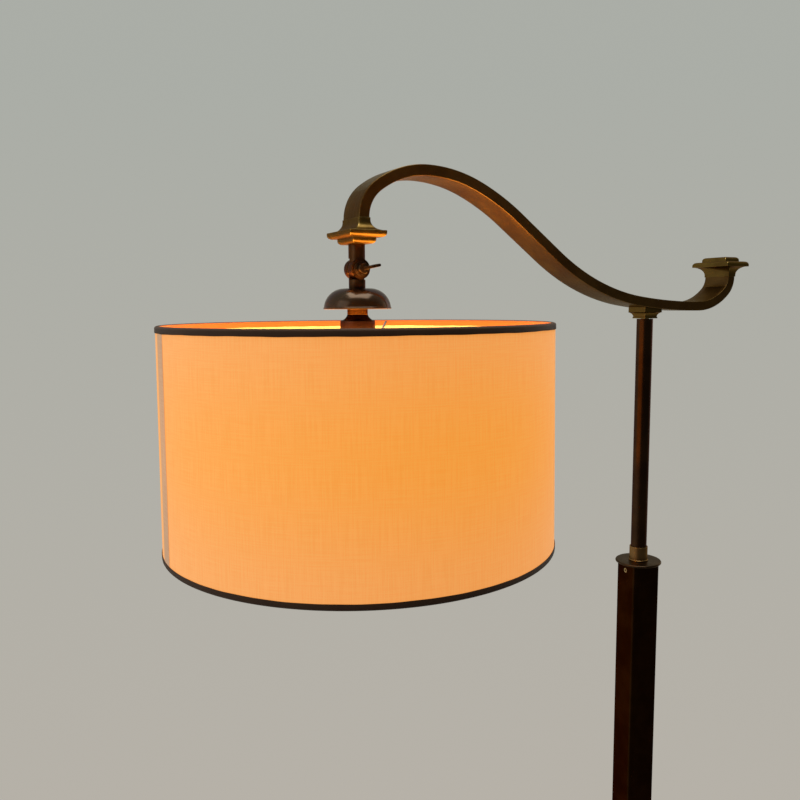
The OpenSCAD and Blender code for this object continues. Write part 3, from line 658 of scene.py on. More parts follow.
def smooth(piece: Piece, angle: float = 38.0) -> Piece:
    """Shades a piece smooth, and sharp past an angle in degrees between its faces."""
    piece.data.shade_smooth()
    piece.data.set_sharp_from_angle(angle=math.radians(angle))
    return piece


def applied(piece: Piece) -> Piece:
    """Keeps what a piece's modifiers make as its own mesh."""
    bpy.context.view_layer.update()
    graph = bpy.context.evaluated_depsgraph_get()
    piece.data = bpy.data.meshes.new_from_object(piece.evaluated_get(graph), depsgraph=graph)
    piece.modifiers.clear()
    return piece


def skin(name: str, rings: Sequence[Sequence[Vector]], wear: Sequence[Numbers], joined: bool) -> Piece:
    """Spans faces between rings of equal count.

    Args:
        name: the piece's name.
        rings: the closed rings, in metres.
        wear: the wear of each ring's points.
        joined: joins the last ring to the first, and otherwise closes both ends.

    Returns:
        The piece, shaded smooth.
    """
    count, size = len(rings), len(rings[0])
    faces = [] if joined else [tuple(range(size)), tuple(range((count - 1) * size, count * size))]
    for i in range(count if joined else count - 1):
        j = (i + 1) % count
        for k in range(size):
            m = (k + 1) % size
            faces.append((i * size + k, i * size + m, j * size + m, j * size + k))
    mesh = bpy.data.meshes.new(name)
    mesh.from_pydata([tuple(p) for ring in rings for p in ring], [], faces)
    mesh.attributes.new(WEAR, "FLOAT", "POINT").data.foreach_set("value", [w for ring in wear for w in ring])
    cleaned(mesh, weld=1e-6)
    return smooth(linked(name, mesh))


def turned(name: str, profile: Sequence[Corner], centre: Numbers, steps: int = 128) -> Piece:
    """Turns a closed profile round an upright axis.

    Args:
        name: the piece's name.
        profile: the profile, anticlockwise.
        centre: the axis' x and y, and the height of the profile's zero, in metres.
        steps: faces round the axis.

    Returns:
        The piece.
    """
    spots = softened(profile)
    rings = []
    for k in range(steps):
        way = spoke(2 * math.pi * k / steps, MM)
        rings.append([Vector(centre) + Vector((s.out * way.x, s.out * way.y, s.up * MM)) for s in spots])
    return skin(name, rings, [[s.wear for s in spots]] * steps, joined=True)


def moulded(
    name: str, across: Sequence[Corner], place: Matrix, corner: float,
    along: Optional[Sequence[Corner]] = None, joined: bool = False,
) -> Piece:
    """Lofts a rectangular moulding with softly rounded mitres.

    Args:
        name: the piece's name.
        across: the profile along the moulding's x.
        place: where the moulding stands, in metres.
        corner: rounding of the upright corners.
        along: the profile along its y, of equal count, if it differs.
        joined: whether the profile's last level joins its first one.

    Returns:
        The piece.
    """
    quarter, steps, margin, rubbed = math.pi / 2, 4, 2.0, 0.8
    rings, wear = [], []
    for a, b in zip(softened(across), softened(along or across)):
        radius = min(corner, a.out * 0.9, b.out * 0.9)
        flat = min(margin, a.out * 0.2, b.out * 0.2)
        ring, marks = [], []
        for turn, (x, y) in enumerate(((1, 1), (-1, 1), (-1, -1), (1, -1))):
            middle, start = Vector((x * (a.out - radius), y * (b.out - radius))), quarter * turn
            ring.append(middle + spoke(start, radius) + spoke(start - quarter, flat))
            ring += [middle + spoke(start + quarter * k / steps, radius) for k in range(steps + 1)]
            ring.append(middle + spoke(start + quarter, radius) + spoke(start + 2 * quarter, flat))
            marks += [0.0] + [math.sin(math.pi * k / steps) for k in range(steps + 1)] + [0.0]
        rings.append([place @ Vector((p.x * MM, p.y * MM, a.up * MM)) for p in ring])
        wear.append([a.wear if a.wear < 0 else max(m * rubbed, a.wear) for m in marks])
    return skin(name, rings, wear, joined)


# ----------------------------------------------------------- geometry benches


class Bench(Sheet):
    """A piece's start line, and a Geometry Nodes tree with named inputs that makes its mesh."""

    SOCKETS = {float: "NodeSocketFloat", int: "NodeSocketInt", bpy.types.Material: "NodeSocketMaterial"}

    def __init__(
        self, name: str, points: Sequence[Numbers], finish: Finish, closed: bool = False, **sizes: float
    ) -> None:
        """Makes the piece as a line of edges, and the tree and its inputs.

        Args:
            name: the piece's name.
            points: the line's points in metres.
            finish: the piece's finish.
            closed: joins the last point to the first.
            sizes: the inputs' values by name, with lengths in metres.
        """
        super().__init__(bpy.data.node_groups.new(name, "GeometryNodeTree"))
        mesh = bpy.data.meshes.new(name)
        edges = [(i, (i + 1) % len(points)) for i in range(len(points) - (not closed))]
        mesh.from_pydata([tuple(p) for p in points], edges, [])
        self.piece = linked(name, mesh)
        self.sizes = {**sizes, "finish": finish.material()}
        for way in ("INPUT", "OUTPUT"):
            self.tree.interface.new_socket("Geometry", in_out=way, socket_type="NodeSocketGeometry")
        for key, value in self.sizes.items():
            self.tree.interface.new_socket(key, in_out="INPUT", socket_type=self.SOCKETS[type(value)])
        self.inlet = self.tree.nodes.new("NodeGroupInput").outputs

    def path(self) -> Socket:
        """Returns the piece's start line as a curve."""
        return self.add("GeometryNodeMeshToCurve", {0: self.inlet["Geometry"]})

    def circle(self, radius: Value, sides: Value) -> Socket:
        """Draws a circle."""
        shape = {"Resolution": sides, "Radius": radius}
        return self.add("GeometryNodeCurvePrimitiveCircle", shape, mode="RADIUS")

    def sweep(self, path: Socket, section: Socket, caps: bool = True) -> Socket:
        """Sweeps a section along a path."""
        ends = {"Curve": path, "Profile Curve": section, "Fill Caps": caps}
        return self.add("GeometryNodeCurveToMesh", ends)

    def vector(self, **parts: Value) -> Socket:
        """Joins numbers named X, Y and Z to a vector."""
        return self.add("ShaderNodeCombineXYZ", parts)

    def make(self, geometry: Socket) -> Piece:
        """Ends the tree in smooth geometry with its material, and keeps that as the piece's mesh.

        Args:
            geometry: the tree's result.

        Returns:
            The piece.
        """
        real = self.add("GeometryNodeRealizeInstances", {0: geometry})
        even = self.add("GeometryNodeSetShadeSmooth", {"Geometry": real})
        done = self.add("GeometryNodeSetMaterial", {"Geometry": even, "Material": self.inlet["finish"]})
        self.put(self.tree.nodes.new("NodeGroupOutput").inputs[0], done)
        modifier = self.piece.modifiers.new("bench", "NODES")
        modifier.node_group = self.tree
        for item in self.tree.interface.items_tree:
            if item.in_out == "INPUT" and item.name in self.sizes:
                modifier[item.identifier] = self.sizes[item.name]
        return applied(self.piece)


# -------------------------------------------------------------- sub-assemblies


def on_base(up: float) -> Matrix:
    """Returns the turned frame of base and column at a height in millimetres."""
    return Matrix.Translation((0, 0, up * MM)) @ Matrix.Rotation(BASE_TURN, 4, "Z")


@dataclass
class Assembly:
    """A sub-assembly of the lamp, with the loaded frame that its pieces go with."""

    frame: dict

    def keep(self, finish: Finish, *nodes: str) -> None:
        """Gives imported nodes, whose shapes stay, a finish.

        Args:
            finish: the finish.
            nodes: the nodes' names.
        """
        for node in nodes:
            for holder in self.frame["nodes"][node].material_slots:
                holder.material = finish.material()
            LOG.info("%s: as packed, %s", node, finish.name)

    def dress(self, piece: Piece, body: Body, node: str, *finishes: Finish) -> None:
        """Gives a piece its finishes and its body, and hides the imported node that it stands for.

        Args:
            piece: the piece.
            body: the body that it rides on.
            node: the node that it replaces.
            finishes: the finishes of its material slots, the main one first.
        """
        materials = [finish.material() for finish in finishes]
        if list(piece.data.materials) != materials:
            piece.data.materials.clear()
            for material in materials:
                piece.data.materials.append(material)
        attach(piece, body.value)
        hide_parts(node)
        LOG.info("%s: %d faces on %s", piece.name, len(piece.data.polygons), body.value)

    def soften(self, node: str, name: str, width: float, body: Body, finish: Finish) -> None:
        """Stands a copy with rounded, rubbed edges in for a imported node.

        Args:
            node: the node's name.
            name: the new piece's name.
            width: width of the rounding.
            body: the body that the piece rides on.
            finish: its finish.
        """
        weld, level, sharp, rubbed = 2e-6, math.radians(0.6), math.radians(32), 0.9
        mesh = bpy.data.meshes.new(name)
        build = bmesh.new()
        build.from_mesh(self.frame["nodes"][node].data)
        bmesh.ops.remove_doubles(build, verts=build.verts, dist=weld)
        bmesh.ops.dissolve_limit(build, angle_limit=level, verts=build.verts, edges=build.edges)
        for face in build.faces:
            face.material_index = 0
            face.smooth = True
        build.to_mesh(mesh)
        build.free()
        piece = linked(name, mesh)
        flat, rounded = range(2)
        for _ in (flat, rounded):
            mesh.materials.append(finish.material())
        bevel = piece.modifiers.new("edges", "BEVEL")
        bevel.width, bevel.segments, bevel.material = width * MM, 3, rounded
        bevel.limit_method, bevel.angle_limit, bevel.harden_normals = "ANGLE", sharp, True
        done = applied(piece).data
        marks = [0.0] * len(done.loops)
        for face in done.polygons:
            if face.material_index == rounded:
                for loop in face.loop_indices:
                    marks[loop] = rubbed
            face.material_index = flat
        done.attributes.new(WEAR, "FLOAT", "CORNER").data.foreach_set("value", marks)
        self.dress(piece, body, node, finish)


@dataclass
class Base(Assembly):
    """Square weighted base: felt, cast weight, moulded cover and cord inlet."""

    side: float = 270
    band: float = 12
    cove: float = 14
    wall: float = 1.5
    edge: float = 1.5
    rim: float = 1
    hole_r: float = 6

    def cover(self) -> Piece:
        """Makes the pressed cover with its cove and rounded band.

        Returns:
            The cover.
        """
        half, top = self.side / 2, self.band + self.cove
        inner = half - 2 * self.edge
        profile = [Corner(half, 0, 0.4), Corner(half, self.band, self.edge), Corner(inner, self.band, 0.5)]
        profile += arc(inner, top, self.cove, -90, -180, 14)[1:-1]
        profile += [Corner(inner - self.cove, top, 0.6), Corner(self.hole_r, top)]
        profile += [Corner(self.hole_r, top - self.wall), Corner(inner - self.cove - 1, top - self.wall)]
        profile += [Corner(half - self.wall, self.band - self.wall), Corner(half - self.wall, 0)]
        return moulded("base_cover_moulding", profile, on_base(self.rim), 2.0, joined=True)

    def build(self) -> None:
        """Makes and dresses the base."""
        self.dress(self.cover(), Body.STAND, "base_cover", Finishes.COLUMN)
        self.keep(Finishes.FELT, "felt_pad")
        self.keep(Finishes.CAST, "base_weight")
        self.keep(Finishes.ZINC, "tie_tube", "tie_nut", "tie_washer")
        self.soften("cord_inlet", "cord_inlet_bush", 0.4, Body.STAND, Finishes.BLACK)


@dataclass
class Column(Assembly):
    """Square column with its foot, cap, collar and locking screw."""

    side: float = 38.4
    low: float = 27
    top: float = 979.8
    foot: float = 64
    slab: float = 5
    lip: float = 2.5
    lip_step: float = 2
    cap_d: float = 58
    cap_t: float = 3.2
    collar_r: float = 11.45
    collar_h: float = 18.5
    collar_drop: float = 6
    bead: float = 0.7
    pole_r: float = 10.05
    play: float = 0.1

    def foot_moulding(self) -> Piece:
        """Makes the moulded foot that the column stands in.

        Returns:
            The foot.
        """
        lip, nose, inner = self.side / 2 + self.lip_step, self.slab / 2, self.side / 2 + self.play
        root = self.foot / 2 - nose
        cove = root - lip
        high = self.slab + cove
        profile = [Corner(root, 0)] + arc(root, nose, nose, -90, 90, 8)[1:-1] + [Corner(root, self.slab, 0.4)]
        profile += arc(lip + cove, high, cove, -90, -180, 10)[1:-1]
        profile += [Corner(lip, high, 0.4), Corner(lip, high + self.lip, 0.6)]
        profile += [Corner(inner, high + self.lip), Corner(inner, 0)]
        return moulded("column_foot_moulding", profile, on_base(self.low), 1.6, joined=True)

    def cap(self) -> Piece:
        """Makes the round disc on the column's top.

        Returns:
            The disc.
        """
        t, hole = self.cap_t, self.collar_r + self.play
        root = self.cap_d / 2 - t / 2
        profile = [Corner(root, 0)] + arc(root, t / 2, t / 2, -80, 80, 8)
        profile += [Corner(root, t), Corner(hole, t, 0.3), Corner(hole, 0)]
        return turned("column_cap_disc", profile, (0, 0, self.top * MM))

    def collar(self) -> Piece:
        """Makes the brass collar round the pole, with a bead on the disc.

        Returns:
            The collar.
        """
        low, high, r, bead = self.cap_t, self.cap_t + self.collar_h, self.collar_r, self.collar_r + self.bead
        profile = [Corner(self.pole_r, -self.collar_drop), Corner(r, -self.collar_drop), Corner(r, low)]
        profile += [Corner(bead, low + 0.2, 0.3), Corner(bead, low + 1.2, 0.4), Corner(r, low + 1.6, 0.2)]
        profile += [Corner(r, high, 0.35), Corner(self.pole_r, high)]
        return turned("guide_collar_sleeve", profile, (0, 0, self.top * MM))

    def build(self) -> None:
        """Makes and dresses the column."""
        self.dress(self.foot_moulding(), Body.STAND, "column_foot", Finishes.COLUMN)
        self.keep(Finishes.COLUMN, "column_tube")
        self.dress(self.cap(), Body.STAND, "column_cap", Finishes.CAP)
        self.dress(self.collar(), Body.STAND, "guide_collar", Finishes.WORN)
        self.keep(Finishes.MACHINED, "guide_block")
        self.keep(Finishes.NYLON, "guide_bush")
        self.keep(Finishes.ZINC, "column_foot_block")
        self.soften("lock_screw", "lock_screw_head", 0.3, Body.LOCK, Finishes.MACHINED)


@dataclass
class Pole(Assembly):
    """Round pole that slides in the column, with its shoe and swivel parts, all as packed."""

    def build(self) -> None:
        """Dresses the pole."""
        self.keep(Finishes.POLE, "pole_tube", "pole_head")
        self.keep(Finishes.NYLON, "pole_shoe")
        self.keep(Finishes.ZINC, "swivel_tube", "swivel_washer", "swivel_nut")


@dataclass(frozen=True)
class Run:
    """A piece of the arm's line: an arc by radius and turn in degrees, or a straight by length."""

    radius: float = 0.0
    turn: float = 0.0
    length: float = 0.0


@dataclass
class Arm(Assembly):
    """The S-curved flat bar with its two end castings, capital and upper knuckle."""

    width: float = 38.4
    thickness: float = 11.5
    edge: float = 0.8
    seat_z: float = 1316.679
    seat_slope: float = 5.7
    slab: Pair = (41, 58.3)
    slab_h: float = 6.5
    slab_rounding: float = 4.2
    tier: Pair = (26, 39)
    tier_h: float = 6
    tier_rounding: float = 4.0
    nose_step: float = 1
    inset: float = 1.5
    lip_h: float = 2.5
    lip_step: float = 0.8
    flare: float = 10.5
    capital: float = 29
    capital_foot: float = 21.8
    capital_neck: float = 20.6
    capital_h: float = 13.4
    capital_block_h: float = 5.0
    capital_foot_h: float = 2.4
    pole_top: float = 1297.5
    towards_shade: tuple[Run, ...] = (
        Run(765, -1.9), Run(290, -28.3), Run(length=67.413), Run(278, 12.6), Run(162, 23.3), Run(98, 36.4),
        Run(39.4, 53.6),
    )
    towards_rear: tuple[Run, ...] = (Run(765, 5.7), Run(75, 41.6), Run(26, 48.4))

    def line(self, heading: float, runs: Sequence[Run]) -> list[Vector]:
        """Walks along the runs from the seat over the pole.

        Args:
            heading: the first heading in degrees.
            runs: the runs.

        Returns:
            The points in metres.
        """
        wide, fine, coarse = 200, 0.6, 2.0
        x, z, a = 0.0, self.seat_z, math.radians(heading)
        points = [Vector((x, 0, z))]
        for run in runs:
            turn = math.radians(run.turn)
            radius = math.copysign(run.radius, run.turn)
            cx, cz = x - radius * math.sin(a), z + radius * math.cos(a)
            chord = fine if run.radius > wide else coarse
            steps = max(2, math.ceil(abs(run.turn) / chord)) if run.turn else 1
            for k in range(1, steps + 1):
                b = a + turn * k / steps
                x = cx + radius * math.sin(b) + run.length * math.cos(b)
                z = cz - radius * math.cos(b) + run.length * math.sin(b)
                points.append(Vector((x, 0, z)))
            a += turn
        return [point * MM for point in points]

    def casting_profile(self, bar: float, slab: float, tier: float) -> list[Corner]:
        """Draws an end casting from the bar's end outwards.

        Args:
            bar: the bar's size this way.
            slab: the slab's size this way.
            tier: the small tier's size this way.

        Returns:
            The profile.
        """
        lip, widest, top = bar / 2 + self.lip_step, slab / 2 - self.nose_step, self.lip_h + self.flare
        corners = [Corner(bar / 2 - self.inset, 0), Corner(lip, 0, 0.3), Corner(lip, self.lip_h, 0.5)]
        hollow = arc(lip + self.flare, self.lip_h, self.flare, 180, 90, 12)[1:]
        corners += [Corner(min(corner.out, widest), corner.up) for corner in hollow]
        for side, high, soft in (
            (slab, self.slab_h, self.slab_rounding),
            (tier, self.tier_h, self.tier_rounding),
        ):
            corners.append(Corner(side / 2, top, 0.3))
            top += high
            corners += arc(side / 2 - soft, top - soft, soft, 0, 90, 10)
        return corners + [Corner(tier / 4, top)]

    def bar(self, points: Sequence[Vector]) -> Piece:
        """Sweeps the flat bar, with rounded and rubbed edges, along a line in the XZ plane.

        Args:
            points: the line's points in metres.

        Returns:
            The bar.
        """
        sizes = {"width": self.width * MM, "thickness": self.thickness * MM, "edge": self.edge * MM}
        bench = Bench("arm_flat_bar", points, Finishes.BRONZE, **sizes)
        inlet, upright = bench.inlet, {"Curve": bench.path(), "Normal": (0.0, 1.0, 0.0)}
        path = bench.add("GeometryNodeSetCurveNormal", upright, mode="FREE")
        sides = {"Width": inlet["width"], "Height": inlet["thickness"]}
        shape = bench.add("GeometryNodeCurvePrimitiveQuadrilateral", sides)
        cut = bench.add("GeometryNodeSubdivideCurve", {"Curve": shape, "Cuts": 4})
        rounding = {"Curve": cut, "Count": 4, "Radius": inlet["edge"]}
        soft = bench.add("GeometryNodeFilletCurve", rounding, mode="POLY")
        spot = bench.parts(bench.add("GeometryNodeInputPosition"))
        marks = []
        for axis, size in enumerate(("width", "thickness")):
            inner = bench.maths("SUBTRACT", bench.times(inlet[size], 0.5), inlet["edge"])
            marks.append(bench.maths("SUBTRACT", bench.maths("ABSOLUTE", spot[axis]), inner))
        corner = bench.maths("MINIMUM", *marks)
        share = bench.maths("DIVIDE", corner, bench.times(inlet["edge"], 0.6), clamp=True)
        stored = {"Geometry": soft, "Name": WEAR, "Value": share}
        section = bench.add("GeometryNodeStoreNamedAttribute", stored, data_type="FLOAT", domain="POINT")
        return smooth(bench.make(bench.sweep(path, section)), 50)

    def capital_block(self) -> Piece:
        """Makes the square capital between pole and bar, with its top against the sloping bar.

        Returns:
            The capital.
        """
        half, foot, neck = self.capital / 2, self.capital_foot / 2, self.capital_neck / 2
        step, under = self.capital_foot_h, self.capital_h - self.capital_block_h
        cove = under - step
        profile = [Corner(foot, 0, 0.4), Corner(foot, step, 0.5), Corner(neck, step, 0.2)]
        profile += arc(neck + cove, step, cove, 180, 90, 8)[1:-1]
        profile += [Corner(half, under, 0.5), Corner(half, self.capital_h), Corner(half / 2, self.capital_h)]
        block = moulded("arm_capital_block", profile, Matrix.Translation((0, 0, self.pole_top * MM)), 0.8)
        for point in block.data.vertices:
            if point.co.z > (self.pole_top + self.capital_h - 1) * MM:
                point.co.z -= point.co.x * math.tan(math.radians(self.seat_slope))
        return block

    def build(self) -> None:
        """Makes and dresses the arm."""
        left = self.line(180 - self.seat_slope, self.towards_shade)
        right = self.line(-self.seat_slope, self.towards_rear)
        self.dress(self.bar(left[:0:-1] + right), Body.ARM, "arm_bar", Finishes.BRONZE)
        upside_down = Matrix.Rotation(math.pi, 4, "X")
        across = self.casting_profile(self.thickness, self.slab[0], self.tier[0])
        along = self.casting_profile(self.width, self.slab[1], self.tier[1])
        for name, node, place in (
            ("shade_end_moulding", "shade_end_casting", Matrix.Translation(left[-1]) @ upside_down),
            ("rear_finial_moulding", "rear_finial", Matrix.Translation(right[-1])),
        ):
            self.dress(moulded(name, across, place, 0.9, along), Body.ARM, node, Finishes.BRASS_EDGE)
        self.dress(self.capital_block(), Body.ARM, "arm_capital", Finishes.BRASS_EDGE)
        self.keep(Finishes.ZINC, "arm_tube")
        self.soften("knuckle_upper", "knuckle_upper_half", 0.8, Body.ARM, Finishes.KNUCKLE)


@dataclass
class Head(Assembly):
    """Lower knuckle, dome cover, neck, lampholder and bulb."""

    x: float = -402.8
    tube_r: float = 5.1
    dome_rim: float = 1313.301
    dome_r: float = 34.5
    dome_h: float = 21
    dome_wall: float = 1
    rim_step: float = 0.4
    rim_h: float = 1.7
    neck_r: float = 10.5
    neck_drop: float = 5.6
    holder_r: float = 18
    holder_wall: float = 1.5
    skirt_low: float = 1290.301
    skirt_h: float = 11
    shoulder_h: float = 6.4
    sag: float = 1.0
    shell_h: float = 38.2
    nose_low: float = 1241.001
    nose_h: float = 11
    nose_step: float = 0.75
    thread_depth: float = 0.7
    thread_turns: int = 5
    flange: float = 2.5
    glass_top: float = 1247.801
    glass_h: float = 82.4
    glass_wall: float = 0.9
    glass_neck: float = 14.0
    bulb_r: float = 30
    screw_r: float = 13.1
    screw_turns: int = 6
    screw_pitch: float = 3.3
    screw_depth: float = 0.9
    screw_h: float = 22.5
    contact_r: float = 4.5
    contact_low: float = 24
    contact_top: float = 26.7

    def at(self, z: float) -> tuple[float, float, float]:
        """Returns a point on the head's axis, in metres, for a height in millimetres."""
        return (self.x * MM, 0.0, z * MM)

    def dome(self) -> Piece:
        """Makes the domed cover with its beaded rim.

        Returns:
            The dome.
        """
        r, h, wall = self.dome_r, self.dome_h, self.dome_wall
        profile = [Corner(self.tube_r, h), Corner(self.tube_r, h - wall)] + arc(r - h, 0, h - wall, 88, 2, 22)
        rim = r + self.rim_step
        profile += [Corner(r - wall, 0), Corner(rim - 0.05, 0, 0.3), Corner(rim, self.rim_h, 0.4)]
        return turned("dome_cover_shell", profile + arc(r - h, 0, h, 6, 90, 26), self.at(self.dome_rim), 160)

    def neck(self) -> Piece:
        """Makes the neck under the dome.

        Returns:
            The neck.
        """
        h, r = self.neck_drop + self.dome_h - self.dome_wall, self.neck_r
        profile = [Corner(self.tube_r, 0), Corner(r, 0, 0.5), Corner(r, h), Corner(self.tube_r, h)]
        return turned("neck_sleeve_ring", profile, self.at(self.dome_rim - self.neck_drop), 96)

    def holder_cap(self) -> Piece:
        """Makes the lampholder's cap with its hollow shoulder.

        Returns:
            The cap.
        """
        r, h, top, wall, steps = self.holder_r, self.skirt_h, self.neck_r, self.holder_wall, 8
        high = h + self.shoulder_h
        profile = [Corner(r, 0, 0.3), Corner(r, h, 0.6)]
        for k in range(1, steps):
            t = k / steps
            sag = 4 * self.sag * t * (1 - t)
            profile.append(Corner(r + (top - r) * t - sag, h + self.shoulder_h * t - sag))
        profile += [Corner(top, high, 0.3), Corner(self.tube_r, high), Corner(self.tube_r, high - wall)]
        profile += [Corner(top - wall, high - wall), Corner(r - wall, h - wall), Corner(r - wall, 0)]
        return turned("lampholder_cap_shell", profile, self.at(self.skirt_low), 96)

    def holder_shell(self) -> Piece:
        """Makes the lampholder's body with its flange and threaded nose.

        Returns:
            The body.
        """
        r, crest, low, wall = self.holder_r, self.holder_r + self.nose_step, self.nose_h, self.holder_wall
        root, rim, inner = crest - self.thread_depth, crest + self.flange, r - wall
        lead = 0.4
        pitch = (low - 2 * lead) / self.thread_turns
        profile = [Corner(inner, 0), Corner(root, 0)]
        for k in range(self.thread_turns):
            profile += [Corner(root, lead + pitch * k), Corner(crest, lead + pitch * (k + 0.5), 0.3)]
        profile += [Corner(root, low), Corner(rim, low, 0.4), Corner(rim, low + wall, 0.4)]
        profile += [Corner(r, low + wall)]
        profile += [Corner(r, low + self.shell_h, 0.3), Corner(inner, low + self.shell_h)]
        return turned("lampholder_shell_body", profile, self.at(self.nose_low), 96)

    def bulb(self) -> Piece:
        """Makes the bulb's glass.

        Returns:
            The glass.
        """
        neck, r, wall = self.glass_neck, self.bulb_r, self.glass_wall
        low, cone = r - self.glass_h, -self.glass_h / 6
        lean = math.atan2(cone - low, neck) - math.acos(r / math.hypot(neck, cone - low))
        globe = arc(0, low, r, -90, math.degrees(lean), 30)
        profile = globe + [Corner(neck, cone, 6.0), Corner(neck, 0, 0.3)]
        profile += [Corner(neck - wall, 0), Corner(neck - wall, cone, 6.0)]
        profile += [Corner(p.out - wall, p.up) for p in globe[:0:-1]] + [Corner(0.0, globe[0].up + wall)]
        return turned("bulb_glass_globe", profile, self.at(self.glass_top - 0.1), 96)

    def bulb_cap(self) -> Piece:
        """Makes the bulb's screw cap with its rolled thread.

        Returns:
            The cap.
        """
        r, root, lead = self.screw_r, self.screw_r - self.screw_depth, 1.6
        profile = [Corner(0, 0), Corner(r - 0.3, 0, 0.2), Corner(r - 0.3, 1.2)]
        for k in range(self.screw_turns):
            z = lead + self.screw_pitch * k
            profile += [Corner(root, z, 0.5), Corner(r, z + self.screw_pitch / 2, 0.8)]
        tip, low, top = self.contact_r, self.contact_low, self.contact_top
        profile += [Corner(root, self.screw_h, 0.6), Corner(tip + 1, low), Corner(tip, low, 0.2)]
        profile += [Corner(tip, top, 0.8), Corner(0, top)]
        return turned("bulb_screw_cap", profile, self.at(self.glass_top), 64)

    def build(self) -> None:
        """Makes and dresses the head."""
        self.soften("knuckle_lower", "knuckle_lower_half", 0.8, Body.HEAD, Finishes.KNUCKLE)
        self.keep(Finishes.FIBRE, "knuckle_washer")
        self.soften("clamp_screw", "clamp_thumb_screw", 0.55, Body.CLAMP, Finishes.CAP)
        self.dress(self.dome(), Body.HEAD, "dome_cover", Finishes.GLOSS)
        self.dress(self.neck(), Body.HEAD, "neck_sleeve", Finishes.NECK_SHADED_BRASS)
        self.dress(self.holder_cap(), Body.HEAD, "lampholder_cap", Finishes.HOLDER)
        self.dress(self.holder_shell(), Body.HEAD, "lampholder_shell", Finishes.HOLDER)
        self.soften("shade_ring", "shade_screw_ring", 0.5, Body.HEAD, Finishes.HOLDER)
        self.keep(Finishes.ZINC, "holder_tube")
        self.keep(Finishes.CERAMIC, "lampholder_core")
        self.keep(Finishes.CONTACT, "thread_sleeve", "centre_contact")
        self.dress(self.bulb_cap(), Body.HEAD, "bulb_cap", Finishes.CAP_METAL)
        self.dress(self.bulb(), Body.HEAD, "bulb_glass", Finishes.BULB)


